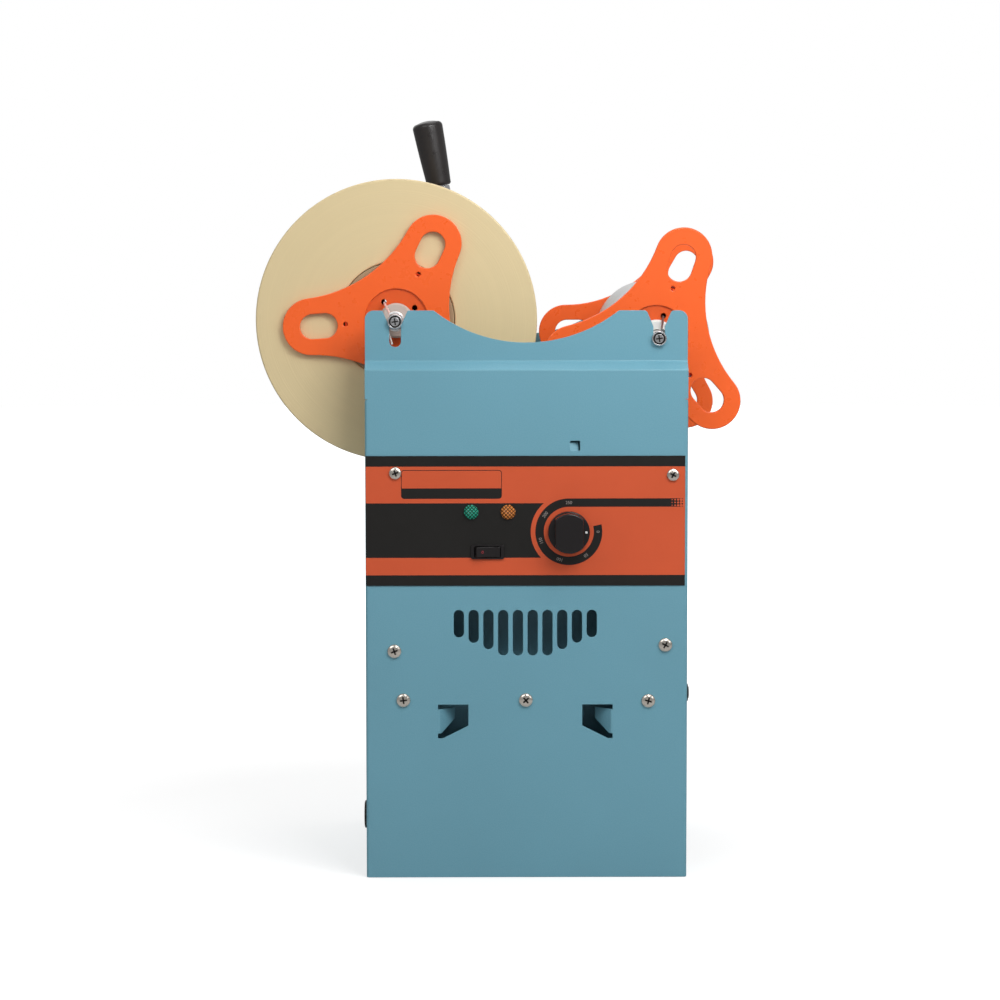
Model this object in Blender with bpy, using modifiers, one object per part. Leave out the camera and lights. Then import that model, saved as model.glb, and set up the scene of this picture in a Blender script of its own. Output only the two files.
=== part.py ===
"""Cup sealing machine with a hand lever, at its real size.

The X axis runs from the rear of the machine to its front, where cups go in. The control
cover faces -Y and the lever is on the +Y side. Z is up, and the origin is the middle of
the bottom face. Lengths are in metres and angles in degrees.
"""

import math

import bmesh
import bpy
from mathutils import Matrix, Vector

# Fits
SEAT_GAP = 0.0003
RUNNING_GAP = 0.0004
SIDES = {"near": -1, "far": 1}

# The cup and the film, which set the width of the bay
CUP_RIM_RADIUS = 0.0475
FILM_MARGIN = 0.0145
FILM_SIDE_ROOM = 0.0025
ROLL_RADIUS = 0.0966
CORE_RADIUS = 0.042
CORE_WALL = 0.004
CORE_STEPS = 24

# Folded sheet
SHEET = 0.0015
BEND = 0.002
BEND_STEPS = 2

# Housing heights and depths
BOX_HEIGHT = 0.3445
BOX_DEPTH = 0.042
JOG_RISE = 0.0065
JOG_DEPTH = 0.008
EAR_HEIGHT = 0.0347
EAR_CORNER = 0.006
EAR_DIP = 0.0216
EAR_SHOULDER = 0.0176
ROOF_MARGIN = 0.0185
ROOF_TAB = 0.010
WALL_FOOT_WIDTH = 0.014
RELIEF = 0.0015
REAR_EDGE_TO_SUPPLY = 0.0204
FRONT_EDGE_TO_TAKEUP = 0.0194

# Axle notches in the ears
SUPPLY_AXLE_DROP = 0.0075
TAKEUP_AXLE_DROP = 0.0190
NOTCH_HALF_WIDTH = 0.0085
NOTCH_DEPTH = 0.0107
SLOT_HALF_WIDTH = 0.0039
SUPPLY_SLOT_DEPTH = 0.0247

# Reels
TIP_CENTRE = 0.0585
TIP_RADIUS = 0.0195
WAIST = 0.035
FLANGE_THICKNESS = 0.004
FINGER_SLOT_CENTRE = 0.0524
FINGER_SLOT_LENGTH = 0.024
FINGER_SLOT_WIDTH = 0.016
ARM_HOLE_CENTRE = 0.035
ARM_HOLE_RADIUS = 0.0015
HUB_RECESS_RADIUS = 0.0202
HUB_RECESS_DEPTH = 0.0015
HUB_HOLE_CENTRE = 0.0152
HUB_HOLE_RADIUS = 0.0019
SPIGOT_RADIUS = 0.0345
SPIGOT_WALL = 0.0035
SPIGOT_LENGTH = 0.012
SPIGOT_RIB = 0.005
REEL_GAP = 0.004
SUPPLY_NEAR_ANGLE = 64.25
SUPPLY_FAR_ANGLE = 40.0
TAKEUP_NEAR_ANGLE = 71.3
TAKEUP_FAR_ANGLE = 60.0
AXLE_RADIUS = 0.005
AXLE_NECK_RADIUS = 0.0035
AXLE_HEAD_RADIUS = 0.005
AXLE_HEAD_HEIGHT = 0.0027
COLLAR_RADIUS = 0.0119
COLLAR_LENGTH = 0.0075
SADDLE_THICKNESS = 0.002
SADDLE_HALF_WIDTH = 0.0135
SADDLE_REACH = 0.0252
DRIVE_WIRE_RADIUS = 0.0008

# Press drive
DRIVE_X = -0.021
DRIVE_DROP = 0.014
DRIVE_RADIUS = 0.006
CRANK_LENGTH = 0.038
CRANK_HUB_RADIUS = 0.010
CRANK_TIP_RADIUS = 0.006
CRANK_WIDTH = 0.006
CRANK_Y = 0.025
CRANK_START = 28.0
LEVER_TRAVEL = 56.0
CRANK_PIN_RADIUS = 0.003
PIN_SLOT_PLAY = 0.0006
LUG_THICKNESS = 0.004
LUG_GAP = 0.002
LUG_RIM = 0.004
BEARING_WALL = 0.0016
BEARING_FLANGE_RADIUS = 0.0115
BEARING_FLANGE = 0.002
BEARING_LENGTH = 0.006

# Lever
LEVER_LEAN = 11.2
LEVER_REACH = 0.2557
LEVER_HUB_RADIUS = 0.011
LEVER_HUB_LENGTH = 0.0145
LEVER_SOCKET_RADIUS = 0.0075
LEVER_SOCKET_REACH = 0.021
LEVER_ROD_RADIUS = 0.004
LEVER_ROD_START = 0.0075
GRIP_LENGTH = 0.0487
GRIP_TOP_RADIUS = 0.01115
GRIP_FOOT_RADIUS = 0.009
GRIP_BORE_DEPTH = 0.034
NUT_RADIUS = 0.0075
NUT_HEIGHT = 0.006

# Press head
HEAD_X = 0.015
CARRIER_THICKNESS = 0.005
CARRIER_DROP = 0.0019
INSULATION_THICKNESS = 0.004
INSULATION_INSET = 0.0025
BLOCK_HEIGHT = 0.020
BLOCK_MARGIN = 0.0025
BLOCK_RECESS = 0.002
BLADE_GAP = 0.0015
BLADE_THICKNESS = 0.0012
BLADE_HANG = 0.0009
BLADE_TOOTH = 0.002
BLADE_TEETH = 26
PRESS_GAP = 0.0028
ARM_WIDTH = 0.014
BOSS_RADIUS = 0.007
BOSS_ABOVE = 0.004
BOSS_BELOW = 0.003
SLIDE_ROOM = 0.001

# Guide posts and return springs
POST_OUTSET = 0.008
POST_RADIUS = 0.004
POST_HEAD_RADIUS = 0.006
POST_HEAD_HEIGHT = 0.002
POST_TAIL = 0.003
BRACKET_HALF_WIDTH = 0.020
BRACKET_REACH = 0.0155
BRACKET_TOP_DROP = 0.004
BRACKET_FOOT_RISE = 0.003
SPRING_WIRE_RADIUS = 0.0007
SPRING_GAP = 0.0006
SPRING_TURNS = 4
SPRING_POINTS_PER_TURN = 8

# Cup tray and mould
MOULD_FLANGE = 0.0077
MOULD_MARGIN = 0.012
MOULD_SKIRT = 0.012
MOULD_BORE_INSET = 0.0025
GASKET_WIDTH = 0.0032
GASKET_THICKNESS = 0.0025
GASKET_SINK = 0.0015
GROOVE_DEPTH = 0.005
GROOVE_ROOM = 0.0011
TRAY_THICKNESS = 0.002
TRAY_REAR = 0.100
TRAY_LIP = 0.020
TRAY_LIP_SETBACK = 0.005
RAIL_SETBACK = 0.009
RAIL_LIP = 0.0028
RAIL_SHELF = 0.0095
PULL_RADIUS = 0.008
PULL_STEM_RADIUS = 0.004
PULL_LENGTH = 0.0092

# Film rollers
ROLLER_RADIUS = 0.007
ROLLER_JOURNAL_RADIUS = 0.003
ROLLER_END_ROOM = 0.002
FILM_HEIGHT = 0.017
ROLLER_MARGIN = 0.0295

# Control label and what it frames, measured down from the top of the box
LABEL_DROP = 0.0565
LABEL_HEIGHT = 0.088
LABEL_THICKNESS = 0.0004
LABEL_REAR_INSET = 0.0004
LABEL_FRONT_INSET = 0.002
DIAL_X = 0.0285
DIAL_DROP = 0.0514
LAMP_DROP = 0.0379
HEAT_LAMP_X = -0.0374
TEMPERATURE_LAMP_X = -0.0125
SWITCH_X = -0.0264
SWITCH_DROP = 0.0649

# Controls
KNOB_RADIUS = 0.0141
KNOB_CROWN_RADIUS = 0.0134
KNOB_HEIGHT = 0.016
KNOB_SKIRT = 0.005
KNOB_FLAT = 0.0095
KNOB_SHAFT_RADIUS = 0.003
CONTROLLER_HALF_WIDTH = 0.018
CONTROLLER_HALF_HEIGHT = 0.020
CONTROLLER_DEPTH = 0.0225
CONTROLLER_BUSH_RADIUS = 0.0048
LAMP_RADIUS = 0.00495
LAMP_BODY_RADIUS = 0.0042
LAMP_DOME = 0.003
LAMP_DEPTH = 0.022
BEZEL_HALF_WIDTH = 0.0113
BEZEL_HALF_HEIGHT = 0.0049
BEZEL_THICKNESS = 0.0012
SWITCH_HALF_WIDTH = 0.0097
SWITCH_HALF_HEIGHT = 0.0042
SWITCH_DEPTH = 0.020
ROCKER_RADIUS = 0.0085
ROCKER_HALF_HEIGHT = 0.0034
ROCKER_TILT = 9.0
FUSE_RADIUS = 0.00635
FUSE_BODY_RADIUS = 0.005
FUSE_STAND_OUT = 0.002
FUSE_DEPTH = 0.022
FUSE_HEIGHT = 0.124
GLAND_RADIUS = 0.0095
GLAND_BODY_RADIUS = 0.0066
GLAND_BORE_RADIUS = 0.004
GLAND_STAND_OUT = 0.0016
GLAND_DEPTH = 0.012
GLAND_HEIGHT = 0.040
TERMINAL_LENGTH = 0.044
TERMINAL_WIDTH = 0.016
TERMINAL_HEIGHT = 0.014
TERMINAL_INSET = 0.027
TERMINAL_WAYS = 4

# Openings in the control cover
VENT_DROP = 0.0166
VENT_PITCH = 0.010
VENT_WIDTH = 0.0065
VENT_LENGTHS = (0.0187, 0.0224, 0.0268, 0.0311, 0.0311)
WINDOW_DROP = 0.0647
WINDOW_INNER = 0.0387
WINDOW_OUTER = 0.0593
WINDOW_INNER_HEIGHT = 0.0144
WINDOW_OUTER_HEIGHT = 0.0231
TAB_LENGTH = 0.0175
TAB_ANGLE = 50.0
TAB_GAP = 0.0033
MARK_RISE = 0.0033
MARK_LEFT = 0.0293
MARK_SIZE = 0.0067
MARK_SLIT = 0.0008
SCREW_HOLE_RADIUS = 0.0022
LABEL_SCREWS = ((-1, 0.0204, 0.0116), (1, -0.0088, 0.0129))
COVER_SCREWS = (
    (-1, 0.0194, 0.0280),
    (1, -0.0150, 0.0239),
    (-1, 0.0254, 0.0615),
    (0, 0.0005, 0.0615),
    (1, -0.0264, 0.0621),
)
REAR_PANEL_ROOM = 0.0166
REAR_PANEL_LIP = 0.010

# Widths worked out from the film and the sheet
FILM_HALF = CUP_RIM_RADIUS + FILM_MARGIN
BAY_HALF = FILM_HALF + FILM_SIDE_ROOM
WALL_OUT = BAY_HALF + SHEET
COVER_Y = WALL_OUT + BOX_DEPTH
EAR_Y = COVER_Y - JOG_DEPTH
EAR_BACK_Y = EAR_Y - SHEET
COVER_BACK_Y = COVER_Y - SHEET

# Heights worked out from the top of the box downwards
EAR_FOOT = BOX_HEIGHT + JOG_RISE
EAR_TOP = EAR_FOOT + EAR_HEIGHT
ROOF_FOOT = BOX_HEIGHT - BOX_DEPTH - ROOF_MARGIN
DRIVE_Z = ROOF_FOOT - DRIVE_DROP
CARRIER_TOP = DRIVE_Z - CRANK_HUB_RADIUS - CARRIER_DROP
CARRIER_FOOT = CARRIER_TOP - CARRIER_THICKNESS
INSULATION_TOP = CARRIER_FOOT - SEAT_GAP
BLOCK_TOP = INSULATION_TOP - INSULATION_THICKNESS - SEAT_GAP
BLOCK_FOOT = BLOCK_TOP - BLOCK_HEIGHT
STROKE = 2 * CRANK_LENGTH * math.sin(math.radians(LEVER_TRAVEL / 2))
GASKET_TOP = BLOCK_FOOT - STROKE - PRESS_GAP + GASKET_SINK
MOULD_TOP = GASKET_TOP - GASKET_THICKNESS + GASKET_SINK
MOULD_FOOT = MOULD_TOP - MOULD_FLANGE
TRAY_TOP = MOULD_FOOT - SEAT_GAP
TRAY_FOOT = TRAY_TOP - TRAY_THICKNESS
ROLLER_Z = MOULD_TOP + FILM_HEIGHT + ROLLER_RADIUS
LABEL_TOP = BOX_HEIGHT - LABEL_DROP
LABEL_FOOT = LABEL_TOP - LABEL_HEIGHT
DIAL_Z = LABEL_TOP - DIAL_DROP
VENT_TOP = LABEL_FOOT - VENT_DROP
WINDOW_TOP = VENT_TOP - WINDOW_DROP

# Reel places and the length of the housing
SUPPLY_Z = EAR_TOP - SUPPLY_AXLE_DROP
TAKEUP_Z = EAR_TOP - TAKEUP_AXLE_DROP
REEL_SPACING = ROLL_RADIUS + TIP_CENTRE + TIP_RADIUS + REEL_GAP
AXLE_RUN = math.sqrt(REEL_SPACING**2 - (SUPPLY_Z - TAKEUP_Z) ** 2)
HALF_LENGTH = (AXLE_RUN + REAR_EDGE_TO_SUPPLY + FRONT_EDGE_TO_TAKEUP) / 2
SUPPLY_X = -HALF_LENGTH + REAR_EDGE_TO_SUPPLY
TAKEUP_X = HALF_LENGTH - FRONT_EDGE_TO_TAKEUP
DIP_HALF_CHORD = -SUPPLY_X - NOTCH_HALF_WIDTH - EAR_SHOULDER

# Radii worked out from the cup
BLOCK_RADIUS = CUP_RIM_RADIUS + BLOCK_MARGIN
BLADE_INNER = BLOCK_RADIUS + BLADE_GAP
BLADE_OUTER = BLADE_INNER + BLADE_THICKNESS
MOULD_RADIUS = CUP_RIM_RADIUS + MOULD_MARGIN
MOULD_BORE = CUP_RIM_RADIUS - MOULD_BORE_INSET
REAR_ROLLER_X = HEAD_X - CUP_RIM_RADIUS - ROLLER_MARGIN
FRONT_ROLLER_X = HEAD_X + CUP_RIM_RADIUS + ROLLER_MARGIN
GROOVE_INNER = BLADE_INNER - GROOVE_ROOM
GROOVE_OUTER = BLADE_OUTER + GROOVE_ROOM
POST_Y = WALL_OUT + POST_OUTSET
FLANGE_BACK = FILM_HALF + SEAT_GAP
FLANGE_FACE = FLANGE_BACK + FLANGE_THICKNESS

# Colours, as red, green and blue shares
BLUE_PAINT = (0.171, 0.397, 0.445)
LABEL_ORANGE = (0.578, 0.102, 0.038)
REEL_ORANGE = (1.0, 0.156, 0.038)
FILM_CREAM = (0.730, 0.610, 0.352)
CARDBOARD = (0.36, 0.22, 0.12)
BLACK_PLASTIC = (0.026, 0.021, 0.019)
WHITE_PLASTIC = (0.80, 0.80, 0.78)
STEEL = (0.55, 0.56, 0.58)
CHROME = (0.75, 0.75, 0.77)
ALUMINIUM = (0.62, 0.63, 0.64)
BRONZE = (0.48, 0.30, 0.14)
RED_RUBBER = (0.45, 0.08, 0.05)
GREEN_LENS = (0.05, 0.42, 0.12)
AMBER_LENS = (0.75, 0.30, 0.04)

FACINGS = {
    "up": Matrix.Identity(4),
    "near": Matrix.Rotation(math.pi / 2, 4, "X"),
    "far": Matrix.Rotation(math.pi, 4, "Z") @ Matrix.Rotation(math.pi / 2, 4, "X"),
    "front": Matrix.Rotation(math.pi / 2, 4, "Y"),
    "rear": Matrix.Rotation(-math.pi / 2, 4, "Y"),
}

for leftover in list(bpy.data.objects):
    bpy.data.objects.remove(leftover)

PARTS = bpy.data.collections.new("cup_sealing_machine")
CUTTERS = bpy.data.collections.new("cup_sealing_machine_cutters")
bpy.context.scene.collection.children.link(PARTS)
bpy.context.scene.collection.children.link(CUTTERS)


# Outlines, as lists of points in a plane
def arc(centre_x, centre_y, radius, start, end, steps):
    """Points along an arc, both ends included; the angles are in degrees."""
    points = []
    for step in range(steps + 1):
        angle = math.radians(start + (end - start) * step / steps)
        points.append((centre_x + radius * math.cos(angle), centre_y + radius * math.sin(angle)))
    return points


def circle(centre_x, centre_y, radius, steps=12):
    """A closed ring of points."""
    return arc(centre_x, centre_y, radius, 0, 360, steps)[:-1]


def link(first, first_radius, second, second_radius, steps=6):
    """The outline of a belt laid round two circles."""
    run = math.dist(first, second)
    heading = math.degrees(math.atan2(second[1] - first[1], second[0] - first[0]))
    spread = math.degrees(math.acos((first_radius - second_radius) / run))
    return arc(*second, second_radius, heading - spread, heading + spread, steps) + arc(
        *first, first_radius, heading + spread, heading + 360 - spread, steps
    )


def rectangle(left, right, foot, top, corner=0.0, steps=3):
    """A rectangle, with rounded corners where corner is given."""
    if not corner:
        return [(left, foot), (right, foot), (right, top), (left, top)]
    points = arc(right - corner, top - corner, corner, 0, 90, steps)
    points += arc(left + corner, top - corner, corner, 90, 180, steps)
    points += arc(left + corner, foot + corner, corner, 180, 270, steps)
    return points + arc(right - corner, foot + corner, corner, 270, 360, steps)


def fillet(points, radius=BEND, steps=BEND_STEPS):
    """The open line through the points with each inner corner rounded."""
    rounded = [points[0]]
    for before, corner, after in zip(points, points[1:], points[2:]):
        corner = Vector(corner)
        back = (Vector(before) - corner).normalized()
        ahead = (Vector(after) - corner).normalized()
        half_angle = back.angle(ahead) / 2
        middle = corner + (back + ahead).normalized() * (radius / math.sin(half_angle))
        first = corner + back * (radius / math.tan(half_angle)) - middle
        last = corner + ahead * (radius / math.tan(half_angle)) - middle
        sweep = first.angle_signed(last)
        for step in range(steps + 1):
            rounded.append(tuple(middle + Matrix.Rotation(-sweep * step / steps, 2) @ first))
    return rounded + [points[-1]]


# Objects
def new_object(name, mesh, collection=PARTS):
    made = bpy.data.objects.new(name, mesh)
    collection.objects.link(made)
    return made


def mesh_of(bm, name):
    mesh = bpy.data.meshes.new(name)
    bm.to_mesh(mesh)
    bm.free()
    return mesh


def place(made, centre, facing="up", turn=0.0):
    """Puts the object at centre, its local Z along the facing, turned about the vertical."""
    spin = Matrix.Rotation(math.radians(turn), 4, "Z")
    made.matrix_world = Matrix.Translation(centre) @ spin @ FACINGS[facing]
    return made


def smooth(made):
    made.data.shade_smooth()
    made.data.set_sharp_from_angle(angle=math.radians(35))
    return made


def plate(name, outlines, thickness, centre=(0, 0, 0), facing="up", turn=0.0, collection=PARTS):
    """A flat plate from a 2D curve: the first outline is its rim, the others are holes."""
    curve = bpy.data.curves.new(name + "_outline", "CURVE")
    curve.dimensions = "2D"
    curve.fill_mode = "BOTH"
    curve.extrude = thickness / 2
    for outline in outlines:
        spline = curve.splines.new("POLY")
        spline.points.add(len(outline) - 1)
        for point, (x, y) in zip(spline.points, outline):
            point.co = (x, y, 0, 1)
        spline.use_cyclic_u = True
    drawn = place(new_object(name + "_curve", curve), centre, facing, turn)
    bpy.context.view_layer.update()
    evaluated = drawn.evaluated_get(bpy.context.evaluated_depsgraph_get())
    mesh = bpy.data.meshes.new_from_object(evaluated)
    bm = bmesh.new()
    bm.from_mesh(mesh)
    bmesh.ops.remove_doubles(bm, verts=bm.verts, dist=1e-6)
    bmesh.ops.dissolve_limit(bm, angle_limit=0.001, verts=bm.verts, edges=bm.edges)
    bmesh.ops.recalc_face_normals(bm, faces=bm.faces)
    bm.to_mesh(mesh)
    bm.free()
    made = new_object(name, mesh, collection)
    made.matrix_world = drawn.matrix_world
    bpy.data.objects.remove(drawn)
    return smooth(made)


def box(name, left, right, front, back, foot, top, collection=PARTS):
    """A box between the given X, Y and Z."""
    bm = bmesh.new()
    size = Matrix.Diagonal((right - left, back - front, top - foot, 1))
    bmesh.ops.create_cube(bm, size=1.0, matrix=size)
    made = new_object(name, mesh_of(bm, name), collection)
    return place(made, ((left + right) / 2, (front + back) / 2, (foot + top) / 2))


def cylinder(name, radius, length, centre, facing="up", segments=24, collection=PARTS):
    bm = bmesh.new()
    bmesh.ops.create_cone(
        bm, cap_ends=True, segments=segments, radius1=radius, radius2=radius, depth=length
    )
    made = new_object(name, mesh_of(bm, name), collection)
    return smooth(place(made, centre, facing))


def turned(name, profile, centre, facing="up", steps=24):
    """A turned piece. The profile holds (radius, height) pairs down its outer side."""
    bm = bmesh.new()
    line = [bm.verts.new((radius, 0, height)) for radius, height in profile]
    ends = zip(line, line[1:] + line[:1]) if profile[0][0] and profile[-1][0] else zip(line, line[1:])
    for start, end in ends:
        bm.edges.new((start, end))
    made = new_object(name, mesh_of(bm, name))
    screw = made.modifiers.new("turn", "SCREW")
    screw.axis = "Z"
    screw.angle = 2 * math.pi
    screw.steps = steps
    screw.render_steps = steps
    screw.use_merge_vertices = True
    screw.merge_threshold = 1e-6
    screw.use_smooth_shade = False
    return place(made, centre, facing)


def thicken(made, thickness=SHEET, offset=0.0):
    solid = made.modifiers.new("sheet", "SOLIDIFY")
    solid.thickness = thickness
    solid.offset = offset
    solid.use_even_offset = True
    return made


def join_rows(bm, lower, upper):
    """Quads between two rows of vertices."""
    for a, b, c, d in zip(lower, lower[1:], upper[1:], upper):
        bm.faces.new((a, b, c, d))


def folded_sheet(name, profile, start, end, along="X", bend=BEND):
    """A folded sheet: its middle line, given in the plane across it, drawn along X or Y."""
    bm = bmesh.new()
    rows = []
    for reach in (start, end):
        row = []
        for across, height in fillet(profile, bend):
            point = (reach, across, height) if along == "X" else (across, reach, height)
            row.append(bm.verts.new(point))
        rows.append(row)
    join_rows(bm, *rows)
    return thicken(new_object(name, mesh_of(bm, name)))


def wire(name, points, radius):
    """A round wire through the points."""
    curve = bpy.data.curves.new(name, "CURVE")
    curve.dimensions = "3D"
    curve.bevel_depth = radius
    curve.bevel_resolution = 1
    curve.use_fill_caps = True
    spline = curve.splines.new("POLY")
    spline.points.add(len(points) - 1)
    for point, place_at in zip(spline.points, points):
        point.co = (*place_at, 1)
    return new_object(name, curve)


def boolean(target, tool, operation):
    """Cuts the tool from the target or joins it; the tool is kept as a hidden helper."""
    for collection in list(tool.users_collection):
        collection.objects.unlink(tool)
    CUTTERS.objects.link(tool)
    tool.hide_render = True
    tool.display_type = "WIRE"
    step = target.modifiers.new(tool.name, "BOOLEAN")
    step.operation = operation
    step.solver = "EXACT"
    step.object = tool
    return target


def cut(target, tool):
    return boolean(target, tool, "DIFFERENCE")


def join(target, tool):
    return boolean(target, tool, "UNION")


def finish(made, colour, roughness=0.5, metallic=0.0):
    """Gives the object a material of its own."""
    material = bpy.data.materials.new(made.name + "_finish")
    material.use_nodes = True
    shader = material.node_tree.nodes["Principled BSDF"]
    shader.inputs["Base Color"].default_value = (*colour, 1.0)
    shader.inputs["Roughness"].default_value = roughness
    shader.inputs["Metallic"].default_value = metallic
    made.data.materials.append(material)
    return made


def carry(name, point, pieces):
    """Hangs the pieces on an empty that stands on their joint's axis."""
    axis = bpy.data.objects.new(name, None)
    PARTS.objects.link(axis)
    axis.empty_display_size = 0.01
    axis.location = point
    bpy.context.view_layer.update()
    for piece in pieces:
        piece.parent = axis
        piece.matrix_parent_inverse = axis.matrix_world.inverted()


# Housing
def notch_outline(axle_x, neck_half, slot_foot):
    """Points down one side of an axle notch, round its foot and up the other side."""
    neck_z = EAR_TOP - NOTCH_DEPTH
    foot = arc(axle_x, slot_foot + neck_half, neck_half, 180, 360, 5)
    points = [(axle_x - NOTCH_HALF_WIDTH, EAR_TOP), (axle_x - neck_half, neck_z)]
    return points + foot + [(axle_x + neck_half, neck_z), (axle_x + NOTCH_HALF_WIDTH, EAR_TOP)]


def ear_outline():
    """The ear's free edge, from its rear foot over the top to its front foot."""
    corner = EAR_CORNER
    dip_radius = (EAR_DIP**2 + DIP_HALF_CHORD**2) / (2 * EAR_DIP)
    half_sweep = math.degrees(math.asin(DIP_HALF_CHORD / dip_radius))
    takeup_foot = TAKEUP_Z - AXLE_NECK_RADIUS - SEAT_GAP
    points = arc(-HALF_LENGTH + corner, EAR_TOP - corner, corner, 180, 90, 4)
    points += notch_outline(SUPPLY_X, SLOT_HALF_WIDTH, EAR_TOP - SUPPLY_SLOT_DEPTH)
    points += arc(0, EAR_TOP - EAR_DIP + dip_radius, dip_radius, 270 - half_sweep, 270 + half_sweep, 12)
    points += notch_outline(TAKEUP_X, SLOT_HALF_WIDTH, takeup_foot)
    return points + arc(HALF_LENGTH - corner, EAR_TOP - corner, corner, 90, 0, 4)


def side_cover(name, side):
    """A folded cover: flanges to the bay wall, a flat face, a jog and an ear with notches."""
    half, face_y, ear_y = HALF_LENGTH, side * COVER_Y, side * EAR_Y
    flange_y = side * WALL_OUT
    plan = fillet([(-half, flange_y), (-half, face_y), (half, face_y), (half, flange_y)])
    bm = bmesh.new()
    foot = [bm.verts.new((x, y, 0)) for x, y in plan]
    flange_tops = [ROOF_FOOT + abs(y) - WALL_OUT for _, y in plan]
    top = [bm.verts.new((x, y, z)) for (x, y), z in zip(plan, flange_tops)]
    join_rows(bm, foot, top)
    relief_z = max(flange_tops) + RELIEF
    inner = [top[BEND_STEPS + 1], top[BEND_STEPS + 2]]
    levels = ((relief_z, face_y), (BOX_HEIGHT, face_y), (EAR_FOOT, ear_y))
    columns = (-half, -half + BEND, half - BEND, half)
    rows = [[bm.verts.new((x, y, z)) for x in columns] for z, y in levels]
    join_rows(bm, inner, rows[0][1:3])
    join_rows(bm, rows[0], rows[1])
    join_rows(bm, rows[1], rows[2])
    edge = [bm.verts.new((x, ear_y, z)) for x, z in ear_outline()]
    bm.faces.new(rows[2][::-1] + edge)
    bmesh.ops.recalc_face_normals(bm, faces=bm.faces)
    bm.faces.ensure_lookup_table()
    bm.normal_update()
    if bm.faces[-1].normal.y * side < 0:
        bmesh.ops.reverse_faces(bm, faces=bm.faces)
    return thicken(new_object(name, mesh_of(bm, name)), offset=-1.0)


def through_cover(name, outlines, side=-1):
    """A cutter with the given outlines through the face of a cover."""
    depth = 4 * SHEET
    middle = (0, side * (COVER_Y - SHEET / 2), 0)
    tool = plate(name, outlines[:1], depth, middle, "near", collection=CUTTERS)
    for number, outline in enumerate(outlines[1:]):
        extra = plate(f"{name}_{number}", [outline], depth, middle, "near", collection=CUTTERS)
        bm = bmesh.new()
        bm.from_mesh(tool.data)
        bm.from_mesh(extra.data)
        bm.to_mesh(tool.data)
        bm.free()
        bpy.data.objects.remove(extra)
    return tool


def vent_outlines():
    outlines = []
    for number, length in enumerate(VENT_LENGTHS + VENT_LENGTHS[::-1]):
        x = (number - len(VENT_LENGTHS) + 0.5) * VENT_PITCH
        end = VENT_WIDTH / 2
        outlines.append(link((x, VENT_TOP - length + end), end, (x, VENT_TOP - end), end, 3))
    return outlines


def window_outline(hand):
    """One hook window; hand is -1 for the rear one and +1 for the front one."""
    foot = WINDOW_TOP - WINDOW_OUTER_HEIGHT
    knee = WINDOW_OUTER - TAB_GAP
    return [
        (hand * WINDOW_OUTER, WINDOW_TOP),
        (hand * WINDOW_OUTER, foot),
        (hand * knee, foot),
        (hand * WINDOW_INNER, WINDOW_TOP - WINDOW_INNER_HEIGHT),
        (hand * WINDOW_INNER, WINDOW_TOP),
    ]


def window_tab(hand):
    """The tab that is bent in at the outer edge of a hook window."""
    root, overlap = -0.2 * SHEET, 0.4 * SHEET
    top = WINDOW_TOP - TAB_GAP
    foot = WINDOW_TOP - WINDOW_OUTER_HEIGHT + TAB_GAP
    tip_foot = WINDOW_TOP - WINDOW_INNER_HEIGHT + TAB_GAP
    reach = -hand
    outline = [
        (reach * root, foot),
        (reach * TAB_GAP, foot),
        (reach * TAB_LENGTH, tip_foot),
        (reach * TAB_LENGTH, top),
        (reach * root, top),
    ]
    hinge = (hand * (WINDOW_OUTER + overlap), -(COVER_Y - SHEET / 2), 0)
    name = "rear_tab" if hand < 0 else "front_tab"
    return plate(name, [outline], SHEET, hinge, "near", turn=-hand * TAB_ANGLE)


def mark_outline():
    """The slit of the small lanced mark above the label, along its top and front edges."""
    foot, top = LABEL_TOP + MARK_RISE, LABEL_TOP + MARK_RISE + MARK_SIZE
    right = MARK_LEFT + MARK_SIZE
    return [
        (MARK_LEFT, top - MARK_SLIT),
        (right - MARK_SLIT, top - MARK_SLIT),
        (right - MARK_SLIT, foot),
        (right, foot),
        (right, top),
        (MARK_LEFT, top),
    ]


def screw_outlines(screws, top):
    """Screw holes, each given by an end of the housing, a shift from it and a drop from top."""
    return [
        circle(end * HALF_LENGTH + shift, top - drop, SCREW_HOLE_RADIUS, 6)
        for end, shift, drop in screws
    ]


def panel_outlines(room):
    """Holes for the lamps, the switch and the knob's bush."""
    lamp = LAMP_BODY_RADIUS + room
    width, height = SWITCH_HALF_WIDTH + room, SWITCH_HALF_HEIGHT + room
    switch_z = LABEL_TOP - SWITCH_DROP
    return [
        circle(HEAT_LAMP_X, LABEL_TOP - LAMP_DROP, lamp),
        circle(TEMPERATURE_LAMP_X, LABEL_TOP - LAMP_DROP, lamp),
        circle(DIAL_X, DIAL_Z, CONTROLLER_BUSH_RADIUS + room),
        rectangle(SWITCH_X - width, SWITCH_X + width, switch_z - height, switch_z + height),
    ]


def flange_hole(name, radius, end, height):
    """A cutter through a flange of the control cover; end is -1 at the rear and +1 in front."""
    centre = (end * HALF_LENGTH, -(WALL_OUT + COVER_Y) / 2, height)
    return cylinder(name, radius, 6 * SHEET, centre, "front", 12)


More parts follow.
